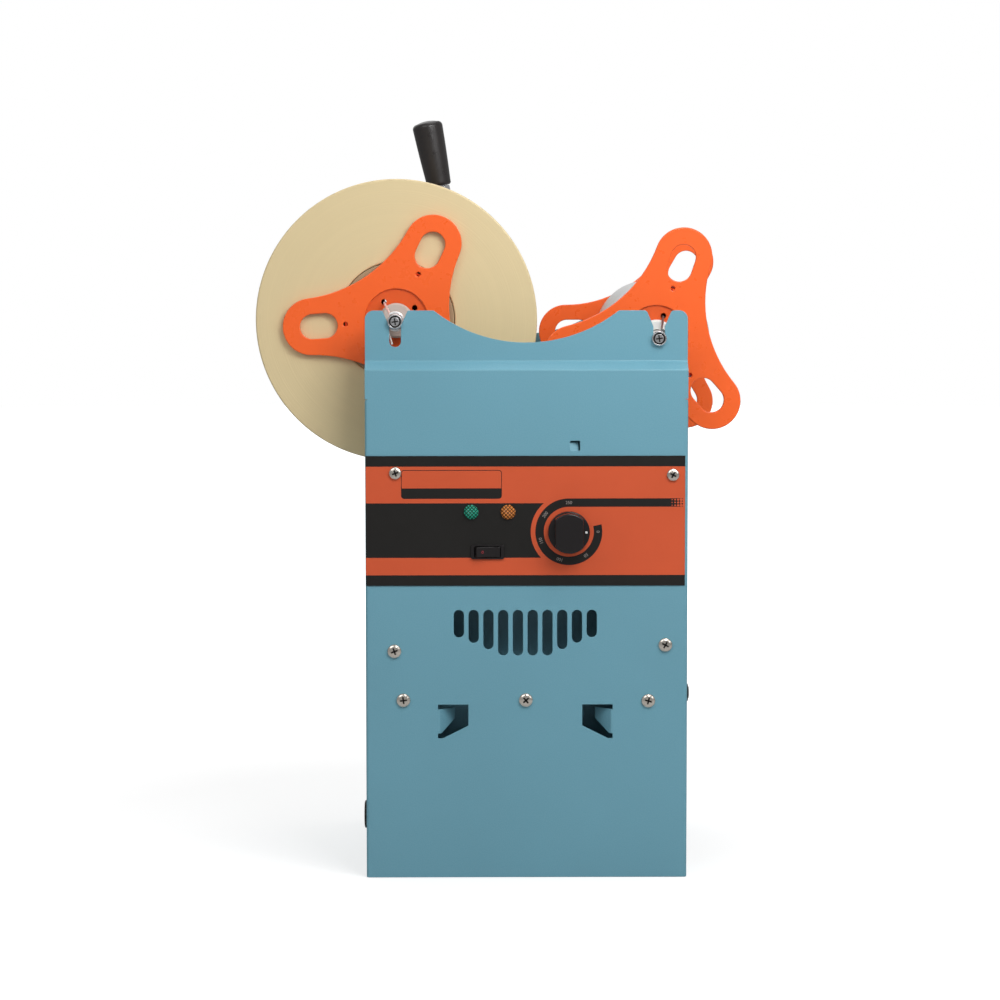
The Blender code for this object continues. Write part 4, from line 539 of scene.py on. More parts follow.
class Paintbox:
    """The nodes of one finish, with short calls for what the finishes share."""

    NOISE_RANGE: Flat = (0.25, 0.75)

    def __init__(self, name: str, colour: Colour, roughness: float, metallic: float = 0.0) -> None:
        """Starts a material with plain values on its shader."""
        self.material = bpy.data.materials.new(name)
        self.material.use_nodes = True
        self.tree = self.material.node_tree
        self.shader = self.tree.nodes["Principled BSDF"]
        self.set("Base Color", (*colour, 1.0))
        self.set("Roughness", roughness)
        self.set("Metallic", metallic)
        self.colour, self.roughness = colour, roughness
        self.spot = self.add("ShaderNodeTexCoord").outputs["Object"]

    def add(
        self, kind: str, inputs: Mapping[str | int, object] | None = None, **settings: object
    ) -> bpy.types.Node:
        """Adds a node.

        Args:
            kind: Its type.
            inputs: What its sockets take, by name or number.
            settings: Its own settings.

        Returns:
            The node.
        """
        made = self.tree.nodes.new(kind)
        for name, value in settings.items():
            setattr(made, name, value)
        for name, value in (inputs or {}).items():
            self.feed(made.inputs[name], value)
        return made

    def feed(self, socket: Socket, value: object) -> None:
        """Links a socket to the input, or sets it where the value is plain."""
        if isinstance(value, bpy.types.NodeSocket):
            self.tree.links.new(value, socket)
        else:
            socket.default_value = value

    def set(self, name: str, value: object) -> None:
        """Sets or links one of the shader's own sockets."""
        self.feed(self.shader.inputs[name], value)

    def calc(self, operation: str, first: object, second: object = 0.0) -> Socket:
        """One step of arithmetic."""
        return self.add("ShaderNodeMath", {0: first, 1: second}, operation=operation).outputs[0]

    def measure(self, operation: str, first: object, second: Space = (0.0, 0.0, 0.0)) -> bpy.types.Node:
        """One step of vector arithmetic."""
        return self.add("ShaderNodeVectorMath", {0: first, 1: second}, operation=operation)

    def axes(self) -> tuple[Socket, Socket, Socket]:
        """X, Y and Z of the place on the piece."""
        made = self.add("ShaderNodeSeparateXYZ", {0: self.spot})
        return made.outputs[0], made.outputs[1], made.outputs[2]

    def reach(self, centre: Space, along: str) -> Socket:
        """Distance from an axis through the centre.

        Args:
            centre: A point on the axis.
            along: The axis, X, Y or Z.

        Returns:
            The distance.
        """
        kept = tuple(0.0 if axis == along else 1.0 for axis in "XYZ")
        away = self.measure("SUBTRACT", self.spot, centre).outputs[0]
        across = self.measure("MULTIPLY", away, kept).outputs[0]
        return self.measure("LENGTH", across).outputs["Value"]

    def noise(self, scale: float, detail: float = 2.0, stretch: Space = (1, 1, 1)) -> Socket:
        """Soft noise over the piece.

        Args:
            scale: Features per metre.
            detail: Layers of finer noise.
            stretch: Factor on each axis before the noise is read.

        Returns:
            Values about one half.
        """
        spot = self.spot
        if stretch != (1, 1, 1):
            spot = self.add("ShaderNodeMapping", {"Vector": spot, "Scale": stretch}).outputs[0]
        inputs = {"Vector": spot, "Scale": scale, "Detail": detail}
        return self.add("ShaderNodeTexNoise", inputs).outputs[0]

    def rings(self, along: Socket, scale: float, detail: float = 2.0) -> Socket:
        """Noise that changes with one value alone, such as a radius."""
        inputs = {"W": along, "Scale": scale, "Detail": detail}
        return self.add("ShaderNodeTexNoise", inputs, noise_dimensions="1D").outputs[0]

    def ramp(self, value: Socket, start: Flat, end: Flat) -> Socket:
        """Leads a value from one range over to another."""
        limits = {"From Min": start[0], "From Max": start[1], "To Min": end[0], "To Max": end[1]}
        return self.add("ShaderNodeMapRange", {"Value": value, **limits}).outputs[0]

    def spread(self, value: Socket, low: float, high: float) -> Socket:
        """Spreads noise over a range of plain values."""
        return self.ramp(value, self.NOISE_RANGE, (low, high))

    def gloss(self, value: Socket, down: float, up: float) -> None:
        """Lets the roughness wander about its plain value."""
        self.set("Roughness", self.spread(value, self.roughness - down, self.roughness + up))

    def soak(self, weight: float, scale: float, radius: Colour) -> None:
        """Lets light soak into the surface, where the weight isn't nought."""
        if weight:
            self.set("Subsurface Weight", weight)
            self.set("Subsurface Scale", scale)
            self.set("Subsurface Radius", radius)

    def tint(self, share: object, first: object, second: object) -> Socket:
        """A colour between two others."""
        ends = [(*value, 1.0) if isinstance(value, tuple) else value for value in (first, second)]
        return self.add("ShaderNodeMix", {0: share, 6: ends[0], 7: ends[1]}, data_type="RGBA").outputs[2]

    def shade(self, value: Socket, change: float, colour: Colour | None = None) -> Socket:
        """A colour, the finish's own unless given, made darker and lighter by noise."""
        colour = colour or self.colour
        dark = tuple(part * (1 - change) for part in colour)
        light = tuple(min(1.0, part * (1 + change)) for part in colour)
        return self.tint(self.spread(value, 0.0, 1.0), dark, light)

    def bump(self, height: Socket, depth: float, before: Socket | None = None) -> Socket:
        """A bump of a real depth over an earlier one."""
        inputs = {"Strength": 1.0, "Distance": depth, "Height": height}
        if before is not None:
            inputs["Normal"] = before
        return self.add("ShaderNodeBump", inputs).outputs[0]

    def inside(self, value: object, low: object, high: object) -> Socket:
        """One where the value lies between two limits, else nought."""
        above = self.calc("GREATER_THAN", value, low)
        return self.calc("MULTIPLY", above, self.calc("LESS_THAN", value, high))

    def both(self, first: object, *others: object) -> Socket:
        """One where all the masks are one."""
        for other in others:
            first = self.calc("MULTIPLY", first, other)
        return first

    def either(self, first: object, *others: object) -> Socket:
        """One where any of the masks is one."""
        for other in others:
            first = self.calc("MAXIMUM", first, other)
        return first


@dataclass(frozen=True)
class Finish:
    """A surface finish; each kind mixes its own nodes."""

    name: str
    slot: Slot
    colour: Colour
    roughness: float = 0.4

    def material(self) -> bpy.types.Material:
        """The finish's material, mixed once."""
        return bpy.data.materials.get(self.name) or self.mix()

    def box(self, metallic: float = 0.0) -> Paintbox:
        """A paint box with this finish's plain values."""
        return Paintbox(self.name, self.colour, self.roughness, metallic)

    def mix(self) -> bpy.types.Material:
        """Mixes the nodes."""
        raise NotImplementedError


@dataclass(frozen=True)
class PowderCoat(Finish):
    """Baked powder paint with a faint orange peel."""

    cloud_scale: float = 9.0
    cloud_change: float = 0.035
    grain_scale: float = 1500.0
    grain_share: float = 0.05
    grain_depth: float = 0.000012
    peel_scale: float = 430.0
    peel_depth: float = 0.00005
    haze_scale: float = 55.0
    haze: Flat = (0.05, 0.07)
    shine: float = 0.38

    def mix(self) -> bpy.types.Material:
        """Paint with slight clouds, fine peel and uneven gloss."""
        box = self.box()
        grain = box.noise(self.grain_scale, 1.0)
        tone = box.shade(box.noise(self.cloud_scale, 3.0), self.cloud_change)
        box.set("Base Color", box.tint(box.spread(grain, 0.0, self.grain_share), tone, (1.0, 1.0, 1.0)))
        box.gloss(box.noise(self.haze_scale, 4.0), *self.haze)
        peel = box.bump(box.noise(self.peel_scale), self.peel_depth)
        box.set("Normal", box.bump(grain, self.grain_depth, peel))
        box.set("Specular IOR Level", self.shine)
        return box.material


@dataclass(frozen=True)
class MouldedPlastic(Finish):
    """Injection-moulded plastic, from glossy to finely grained."""

    grain: float = 0.00001
    clouds: float = 0.03
    glow: float = 0.0
    shine: float = 0.5
    haze: float = 0.05
    waves: float = 0.00001
    cloud_scale: float = 26.0
    haze_scale: float = 140.0
    wave_scale: float = 90.0
    grain_scale: float = 2600.0
    soak_reach: float = 0.002

    def mix(self) -> bpy.types.Material:
        """Plastic with faint flow clouds and a fine skin."""
        box = self.box()
        box.set("Base Color", box.shade(box.noise(self.cloud_scale, 3.0), self.clouds))
        box.gloss(box.noise(self.haze_scale, 4.0), self.haze, self.haze)
        waves = box.bump(box.noise(self.wave_scale, 1.0), self.waves)
        box.set("Normal", box.bump(box.noise(self.grain_scale), self.grain, waves))
        box.set("Specular IOR Level", self.shine)
        box.soak(self.glow, self.soak_reach, (1.0, 0.5, 0.3))
        return box.material


@dataclass(frozen=True)
class WoundRoll(Finish):
    """Film or board wound about a Y axis, with rings on its ends."""

    centre: Space = (0.0, 0.0, 0.0)
    pitch: float = 0.0011
    contrast: float = 0.025
    depth: float = 0.00006
    broad_share: float = 0.55
    line_share: float = 0.35
    line_depth: float = 0.4
    haze_scale: float = 70.0
    haze: Flat = (0.05, 0.07)

    def mix(self) -> bpy.types.Material:
        """Rings by radius on the ends and fine lines round the outside."""
        box = self.box()
        reach = box.reach(self.centre, "Y")
        broad = box.rings(reach, 0.12 / self.pitch)
        fine = box.rings(reach, 1.0 / self.pitch, 3.0)
        lines = box.rings(box.axes()[1], 0.8 / self.pitch, 3.0)
        shares = ((broad, self.broad_share), (fine, 1.0 - self.broad_share))
        mixed = box.calc("ADD", *(box.calc("MULTIPLY", layer, share) for layer, share in shares))
        tone = box.shade(mixed, self.contrast)
        dark = tuple(part * (1 - self.contrast) for part in self.colour)
        box.set("Base Color", box.tint(box.spread(lines, 0.0, self.line_share), tone, dark))
        box.gloss(box.noise(self.haze_scale, 3.0), *self.haze)
        rings = box.bump(fine, self.depth)
        box.set("Normal", box.bump(lines, self.line_depth * self.depth, rings))
        return box.material


@dataclass(frozen=True)
class PlatedSteel(Finish):
    """Bright plating with faint haze and hairlines."""

    metal: float = 1.0
    cloud_scale: float = 60.0
    cloud_change: float = 0.05
    haze_scale: float = 420.0
    haze: Flat = (0.05, 0.08)
    grain_scale: float = 900.0
    grain: float = 0.000006

    def mix(self) -> bpy.types.Material:
        """Metal with uneven gloss."""
        box = self.box(self.metal)
        box.set("Base Color", box.shade(box.noise(self.cloud_scale, 3.0), self.cloud_change))
        box.gloss(box.noise(self.haze_scale, 4.0), *self.haze)
        box.set("Normal", box.bump(box.noise(self.grain_scale, 3.0), self.grain))
        return box.material


@dataclass(frozen=True)
class BrushedSheet(Finish):
    """Steel sheet or bar with fine lines along X."""

    stretch: Space = (0.03, 1.0, 1.0)
    line_scale: float = 1800.0
    line_depth: float = 0.000012
    haze: Flat = (0.08, 0.1)
    cloud_scale: float = 35.0
    cloud_change: float = 0.06

    def mix(self) -> bpy.types.Material:
        """Metal with drawn lines in its gloss and surface."""
        box = self.box(1.0)
        lines = box.noise(self.line_scale, 3.0, self.stretch)
        box.set("Base Color", box.shade(box.noise(self.cloud_scale, 4.0), self.cloud_change))
        box.gloss(lines, *self.haze)
        box.set("Normal", box.bump(lines, self.line_depth))
        return box.material


@dataclass(frozen=True)
class TurnedMetal(Finish):
    """Metal with the fine rings that a lathe leaves."""

    centre: Space = (0.0, 0.0, 0.0)
    along: str = "Z"
    ring_scale: float = 2600.0
    ring_depth: float = 0.000015
    line_scale: float = 2200.0
    line_depth: float = 0.000012
    haze: Flat = (0.07, 0.09)
    cloud_scale: float = 45.0
    cloud_change: float = 0.06

    def mix(self) -> bpy.types.Material:
        """Rings by radius on flat faces and by height on round ones."""
        box = self.box(1.0)
        rings = box.rings(box.reach(self.centre, self.along), self.ring_scale)
        lines = box.rings(box.axes()["XYZ".index(self.along)], self.line_scale)
        box.set("Base Color", box.shade(box.noise(self.cloud_scale, 4.0), self.cloud_change))
        box.gloss(rings, *self.haze)
        box.set("Normal", box.bump(lines, self.line_depth, box.bump(rings, self.ring_depth)))
        return box.material


@dataclass(frozen=True)
class MouldedRubber(Finish):
    """Soft rubber with a dusty skin."""

    dust_scale: float = 120.0
    dust_share: float = 0.08
    dust_colour: Colour = (0.8, 0.75, 0.7)
    haze_scale: float = 300.0
    haze: Flat = (0.06, 0.08)
    grain_scale: float = 1700.0
    grain: float = 0.00003

    def mix(self) -> bpy.types.Material:
        """Dull surface with fine grain."""
        box = self.box()
        dust = box.noise(self.dust_scale, 5.0)
        tone = box.shade(dust, self.dust_share)
        box.set("Base Color", box.tint(box.spread(dust, 0.0, self.dust_share), tone, self.dust_colour))
        box.gloss(box.noise(self.haze_scale, 3.0), *self.haze)
        box.set("Normal", box.bump(box.noise(self.grain_scale, 3.0), self.grain))
        return box.material


@dataclass(frozen=True)
class PressedBoard(Finish):
    """Pressed fibre board with short fibres and specks."""

    fibre_scale: float = 900.0
    fibre_stretch: Space = (0.2, 1.0, 1.0)
    fibre_share: float = 0.4
    fibre_depth: float = 0.00006
    dark_part: float = 0.6
    blotch_scale: float = 160.0
    blotch_change: float = 0.18
    haze: Flat = (0.08, 0.08)

    def mix(self) -> bpy.types.Material:
        """Fibres along X and Y over soft blotches."""
        box = self.box()
        fibres = box.noise(self.fibre_scale, 4.0, self.fibre_stretch)
        tone = box.shade(box.noise(self.blotch_scale, 5.0), self.blotch_change)
        dark = tuple(self.dark_part * part for part in self.colour)
        box.set("Base Color", box.tint(box.spread(fibres, 0.0, self.fibre_share), tone, dark))
        box.gloss(fibres, *self.haze)
        box.set("Normal", box.bump(fibres, self.fibre_depth))
        return box.material


@dataclass(frozen=True)
class LampLens(Finish):
    """Coloured lens with a slanting lattice moulded in its face."""

    glow: float = 0.03
    pitch: float = 0.0018
    lattice_depth: float = 0.0004
    # Shares of the lens colour for the painted shade in the gaps and the painted highlight on the ridges.
    dark_part: float = 0.25
    light_part: float = 1.6
    light_floor: float = 0.01
    haze_scale: float = 500.0
    haze: Flat = (0.0, 0.08)
    shine: float = 0.25

    def mix(self) -> bpy.types.Material:
        """Lattice of small pyramids, with painted shade in the gaps between them and painted highlight on
        their ridges.
        """
        box = self.box()
        x, _, z = box.axes()
        pace = math.pi / (self.pitch * math.sqrt(2))
        ridges = []
        for slant in ("ADD", "SUBTRACT"):
            wave = box.calc("SINE", box.calc("MULTIPLY", box.calc(slant, x, z), pace))
            ridges.append(box.calc("ABSOLUTE", wave))
        lattice = box.calc("MINIMUM", *ridges)
        # Dark in the lattice's gaps and light on its ridges: painted shade and painted highlight, which the
        # glow also follows.
        dark = tuple(self.dark_part * part for part in self.colour)
        light = tuple(min(1.0, self.light_part * part + self.light_floor) for part in self.colour)
        tone = box.tint(box.spread(lattice, 0.0, 1.0), dark, light)
        box.set("Base Color", tone)
        box.set("Emission Color", tone)
        box.set("Emission Strength", self.glow)
        box.gloss(box.noise(self.haze_scale), *self.haze)
        box.set("Normal", box.bump(lattice, self.lattice_depth))
        box.set("Specular IOR Level", self.shine)
        return box.material


@dataclass(frozen=True)
class PrintedLabel(Finish):
    """Printed film: orange ground, black strips, a dial ring, a tail and a plain name place."""

    ink: Colour = (0.0115, 0.0105, 0.0095)
    dial: Flat = (0.0285, 0.2366)
    ring: Flat = (0.0169, 0.0226)
    ring_gap: Flat = (13.0, 90.0)
    strips: Flat = (0.2072, 0.2808)
    field: Flat = (0.2190, 0.2560)
    field_reach: float = 0.0257
    tail: Flat = (0.0972, 0.1070)
    dot_pitch: float = 0.0020
    frame_box: tuple[float, float, float, float] = (-0.0847, -0.0167, 0.2590, 0.2785)
    frame_corner: float = 0.0022
    frame_line: float = 0.00045
    bar_top: float = 0.2661
    dot_size: Flat = (0.16, 0.42)
    cloud_scale: float = 22.0
    cloud_change: float = 0.05
    ink_change: float = 0.12
    ink_dulling: float = 0.05
    haze_scale: float = 260.0
    haze: Flat = (0.03, 0.06)
    skin_scale: float = 1200.0
    print_depth: float = 0.00001
    shine: float = 0.3

    def mix(self) -> bpy.types.Material:
        """The print over a satin film."""
        box = self.box()
        x, _, z = box.axes()
        reach = box.reach((self.dial[0], 0.0, self.dial[1]), "Y")
        inked = box.either(
            box.calc("GREATER_THAN", z, self.strips[1]),
            box.calc("LESS_THAN", z, self.strips[0]),
            self.black_field(box, x, z, reach),
            self.dial_ring(box, x, z, reach),
            self.tail_band(box, x, z),
            self.name_place(box, x, z),
        )
        clouds = box.noise(self.cloud_scale, 3.0)
        print_tone = box.shade(clouds, self.ink_change, self.ink)
        box.set("Base Color", box.tint(inked, box.shade(clouds, self.cloud_change), print_tone))
        down, up = self.haze
        satin = box.spread(box.noise(self.haze_scale, 3.0), self.roughness - down, self.roughness + up)
        box.set("Roughness", box.calc("ADD", satin, box.calc("MULTIPLY", inked, self.ink_dulling)))
        skin = box.bump(box.noise(self.skin_scale), self.print_depth)
        box.set("Normal", box.bump(inked, self.print_depth, skin))
        box.set("Specular IOR Level", self.shine)
        return box.material

    def black_field(self, box: Paintbox, x: Socket, z: Socket, reach: Socket) -> Socket:
        """The black field left of the dial, hollowed round it."""
        level = box.inside(z, *self.field)
        left = box.calc("LESS_THAN", x, self.dial[0])
        return box.both(level, left, box.calc("GREATER_THAN", reach, self.field_reach))

    def dial_ring(self, box: Paintbox, x: Socket, z: Socket, reach: Socket) -> Socket:
        """The ring round the knob, open at its upper right."""
        across = box.calc("SUBTRACT", x, self.dial[0])
        up = box.calc("SUBTRACT", z, self.dial[1])
        heading = box.calc("ARCTAN2", up, across)
        low, high = (math.radians(angle) for angle in self.ring_gap)
        gap = box.inside(heading, low, high)
        closed = box.calc("SUBTRACT", 1.0, gap)
        return box.both(box.inside(reach, *self.ring), closed)

    def tail_band(self, box: Paintbox, x: Socket, z: Socket) -> Socket:
        """The band that leaves the ring to the right and ends in growing dots."""
        low, high = self.dial[1] + self.ring[0], self.dial[1] + self.ring[1]
        level = box.inside(z, low, high)
        run = box.inside(x, self.dial[0], self.tail[1])
        row = (high - low) / 3
        along = box.calc("SUBTRACT", x, self.tail[0])
        column = box.calc("FRACT", box.calc("DIVIDE", along, self.dot_pitch))
        line = box.calc("FRACT", box.calc("DIVIDE", box.calc("SUBTRACT", z, low), row))
        away = [box.calc("ABSOLUTE", box.calc("SUBTRACT", part, 0.5)) for part in (column, line)]
        squares = [box.calc("MULTIPLY", part, part) for part in away]
        distance = box.calc("SQRT", box.calc("ADD", *squares))
        past = box.calc("DIVIDE", along, self.tail[1] - self.tail[0])
        first, growth = self.dot_size
        size = box.calc("MULTIPLY", box.calc("MAXIMUM", past, 0.0), growth)
        size = box.calc("ADD", size, box.calc("MULTIPLY", box.calc("GREATER_THAN", past, 0.0), first))
        return box.both(level, run, box.calc("GREATER_THAN", distance, size))

    def name_place(self, box: Paintbox, x: Socket, z: Socket) -> Socket:
        """A plain rounded frame over a plain bar."""
        left, right, foot, top = self.frame_box
        corner = self.frame_corner
        over = []
        for value, low, high in ((x, left, right), (z, foot, top)):
            away = box.calc("ABSOLUTE", box.calc("SUBTRACT", value, (low + high) / 2))
            past = box.calc("SUBTRACT", away, (high - low) / 2 - corner)
            past = box.calc("MAXIMUM", past, 0.0)
            over.append(box.calc("MULTIPLY", past, past))
        distance = box.calc("SUBTRACT", box.calc("SQRT", box.calc("ADD", *over)), corner)
        within = box.calc("LESS_THAN", distance, 0.0)
        line = box.calc("GREATER_THAN", distance, -self.frame_line)
        bar = box.calc("LESS_THAN", z, self.bar_top)
        return box.both(within, box.either(line, bar))


BLUE = PowderCoat("powder_coat_blue", Slot.BLUE_PAINT, (0.131, 0.343, 0.437), 0.42)
LABEL = PrintedLabel("printed_label", Slot.LABEL_ORANGE, (0.640, 0.100, 0.036), 0.36)
REEL_SKIN = {"grain": 0.000003, "clouds": 0.01, "haze": 0.012, "waves": 0.000003}
REEL = MouldedPlastic("reel_orange_gloss", Slot.REEL_ORANGE, (1.0, 0.140, 0.022), 0.28, **REEL_SKIN)
# A darker copy of the reel orange for the sunk hubs, painted shade.
SHADED_HUB_ORANGE = MouldedPlastic("reel_orange_hub", Slot.REEL_ORANGE, (0.78, 0.105, 0.016), 0.32, **REEL_SKIN)
BLACK = MouldedPlastic(
    "black_moulding", Slot.BLACK_PLASTIC, (0.012, 0.011, 0.010), 0.42, 0.00003, 0.08, shine=0.3
)
GRIP = MouldedPlastic("grip_black", Slot.BLACK_PLASTIC, (0.024, 0.021, 0.021), 0.30, 0.00002, 0.08)
GLOSS = MouldedPlastic(
    "black_gloss_moulding", Slot.BLACK_GLOSS, (0.013, 0.011, 0.0115), 0.18, 0.000004, 0.06, shine=0.4
)
WHITE = MouldedPlastic("white_moulding", Slot.WHITE_PLASTIC, (0.80, 0.80, 0.77), 0.40, 0.00001, 0.02, 0.1)
# A darker, warmer copy of the white moulding for the supply reel's collars, painted shade.
SHADED_COLLAR_WHITE = MouldedPlastic("collar_white_painted_shade", Slot.WHITE_PLASTIC, (0.56, 0.47, 0.42), 0.45, 0.00001, 0.03)
MILKY = MouldedPlastic("milky_tube", Slot.WHITE_PLASTIC, (0.58, 0.585, 0.60), 0.34, 0.00001, 0.03, 0.1)
STEEL = BrushedSheet("steel_sheet", Slot.STEEL, (0.55, 0.56, 0.58), 0.34)
WIRE = PlatedSteel("spring_wire", Slot.STEEL, (0.60, 0.60, 0.62), 0.24)
# A dark copy of the spring wire for the take-up reel, painted shade.
SHADED_WIRE = PlatedSteel("wire_painted_shade", Slot.CHROME, (0.17, 0.18, 0.18), 0.40, 0.7)
CHROME = PlatedSteel("bright_plating", Slot.CHROME, (0.75, 0.75, 0.77), 0.14)
# A pale copy of the spring wire for the supply reel, painted light.
LIT_WIRE = PlatedSteel("wire_painted_light", Slot.CHROME, (0.90, 0.90, 0.90), 0.30, 0.35)
ZINC = PlatedSteel("zinc_screws", Slot.STEEL, (0.72, 0.67, 0.60), 0.20)
BRONZE = PlatedSteel("oiled_bronze", Slot.BRONZE, (0.48, 0.30, 0.14), 0.32)
RUBBER = MouldedRubber("red_rubber", Slot.RUBBER, (0.45, 0.08, 0.05), 0.72)
BOARD = PressedBoard("insulating_board", Slot.BOARD, (0.36, 0.22, 0.12), 0.82)
GREEN = LampLens("green_lattice", Slot.GREEN_LENS, (0.008, 0.20, 0.130), 0.16)
AMBER = LampLens("amber_lattice", Slot.AMBER_LENS, (0.42, 0.14, 0.028), 0.16)
PRINT_GREY = MouldedPlastic("dial_print", Slot.LABEL_ORANGE, (0.30, 0.26, 0.24), 0.45)
PRINT_WHITE = MouldedPlastic("dot_print", Slot.BLACK_GLOSS, (0.85, 0.85, 0.84), 0.35)
MARK_RED = MouldedPlastic("switch_mark", Slot.BLACK_GLOSS, (0.30, 0.02, 0.03), 0.35)


# Shared small pieces


@dataclass(frozen=True)
class PanScrew:
    """A pan-head screw with a cross recess."""

    radius: float = 0.0042
    height: float = 0.0023
    wing: float = 0.0028
    slot: float = 0.0013
    depth: float = 0.0018
    shank: float = 0.0018
    tail: float = 0.004
    crown_share: float = 0.65
    crown_angles: tuple[float, ...] = (25, 45, 62, 78)
    brim: float = 0.25
    edge: float = 0.00012
    foot_wing: float = 0.45
    foot_slot: float = 0.3
    # Sizes of the painted shade in the cross: reach and half width as shares of the wing and slot, and how
    # high it fills the recess.
    painted_shade: Space = (0.8, 0.38, 0.45)

    def blank(self, place: Space, facing: Facing, turn: float) -> Blank:
        """The screw, seated on a surface.

        Args:
            place: Middle of its seat.
            facing: Where its head points.
            turn: Turn of its cross, in degrees.

        Returns:
            The screw.
        """
        crown = [(0, self.height)]
        for angle in map(math.radians, self.crown_angles):
            rise = 1 - self.crown_share + self.crown_share * math.cos(angle)
            crown.append((self.radius * math.sin(angle), self.height * rise))
        crown += [(self.radius, self.brim * self.height), (self.radius, 0), (self.shank, 0)]
        crown += [(self.shank, -self.tail), (0, -self.tail)]
        head = Blank.turned(crown, 32, self.edge)
        for quarter in (0, 90):
            head.cut(self.recess(turn + quarter))
        return head.move(facing.at(place))

    def dark(self, place: Space, facing: Facing, turn: float) -> Blank:
        """The painted shade at the foot of its cross.

        Args:
            place: Middle of the screw's seat.
            facing: Where its head points.
            turn: Turn of its cross, in degrees.

        Returns:
            Two crossed bars.
        """
        # Black bars at the foot of the cross, painted shade in its recess.
        reach, half, fill = self.painted_shade[0] * self.wing, self.painted_shade[1] * self.slot, self.painted_shade[2]
        low = (-reach, -half, self.height - self.depth)
        high = (reach, half, self.height - fill * self.depth)
        bars = [Blank.box(low, high).move(facing.at(place) @ spin(turn + quarter)) for quarter in (0, 90)]
        return bars[0].with_islands(bars[1])

    def recess(self, turn: float) -> Blank:
        """One wing pair of the cross, narrower towards its foot."""
        bm = bmesh.new()
        foot = (self.height - self.depth, self.foot_wing * self.wing, self.foot_slot * self.slot)
        rows = []
        for z, wing, slot in (foot, (self.height + 0.0005, self.wing, self.slot / 2)):
            corners = ((-wing, -slot), (wing, -slot), (wing, slot), (-wing, slot))
            rows.append([bm.verts.new((x, y, z)) for x, y in corners])
        bridge(bm, rows)
        bm.faces.new(rows[0][::-1])
        bm.faces.new(rows[1])
        bmesh.ops.recalc_face_normals(bm, faces=bm.faces)
        return Blank(bm).move(spin(turn))


def redress(name: str, finish: Finish, width: float = 0.00025) -> bpy.types.Object:
    """Keeps a node and gives it a finish, rounded edges and even shading.

    Args:
        name: The node.
        finish: Its finish.
        width: Radius of its edges.

    Returns:
        The node's object.
    """
    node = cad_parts[name]
    node.data.materials.clear()
    node.data.materials.append(finish.material())
    weld = node.modifiers.new("weld", "WELD")
    weld.merge_threshold = WELD_REACH
    edge = node.modifiers.new("edge", "BEVEL")
    edge.width = width
    edge.segments = 2
    edge.limit_method = "ANGLE"
    edge.angle_limit = math.radians(SHARP_ANGLE)
    even_shading(node, SHARP_ANGLE)
    LOG.info("%s: kept, %s", name, finish.name)
    return node


@dataclass(frozen=True)
class Layout:
    """Main planes of the machine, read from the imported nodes."""

    half: float = field(default_factory=lambda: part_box("control_cover")[1].x)
    cover_y: float = field(default_factory=lambda: -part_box("control_cover")[0].y)
    ear_top: float = field(default_factory=lambda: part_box("control_cover")[1].z)
    label_low: Vector = field(default_factory=lambda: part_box("control_label")[0])
    label_high: Vector = field(default_factory=lambda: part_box("control_label")[1])
    bay_half: float = 0.0645
    sheet: float = 0.0015
    box_height: float = 0.3460
    jog_rise: float = 0.0056
    jog_depth: float = 0.008
    roof_foot: float = 0.284
    drive: Flat = (-0.021, 0.270)
    head_x: float = 0.015

    @property
    def wall_out(self) -> float:
        """Outer face of a bay wall."""
        return self.bay_half + self.sheet

    @property
    def ear_y(self) -> float:
        """Outer face of an ear."""
        return self.cover_y - self.jog_depth

    @property
    def head(self) -> Matrix:
        """The matrix of the press head's axis."""
        return Matrix.Translation((self.head_x, 0, 0))

    def turned(self, name: str, slot: Slot, colour: Colour, roughness: float) -> TurnedMetal:
        """A finish with its rings about the press head's axis."""
        return TurnedMetal(name, slot, colour, roughness, (self.head_x, 0.0, 0.0))

    @property
    def supply(self) -> Flat:
        """X and Z of the supply axle."""
        x, _, z = middle_of("supply_core")
        return (x, z)

    @property
    def takeup(self) -> Flat:
        """X and Z of the take-up axle."""
        x, _, z = middle_of("takeup_core")
        return (x, z)


LAYOUT = Layout()


# Housing


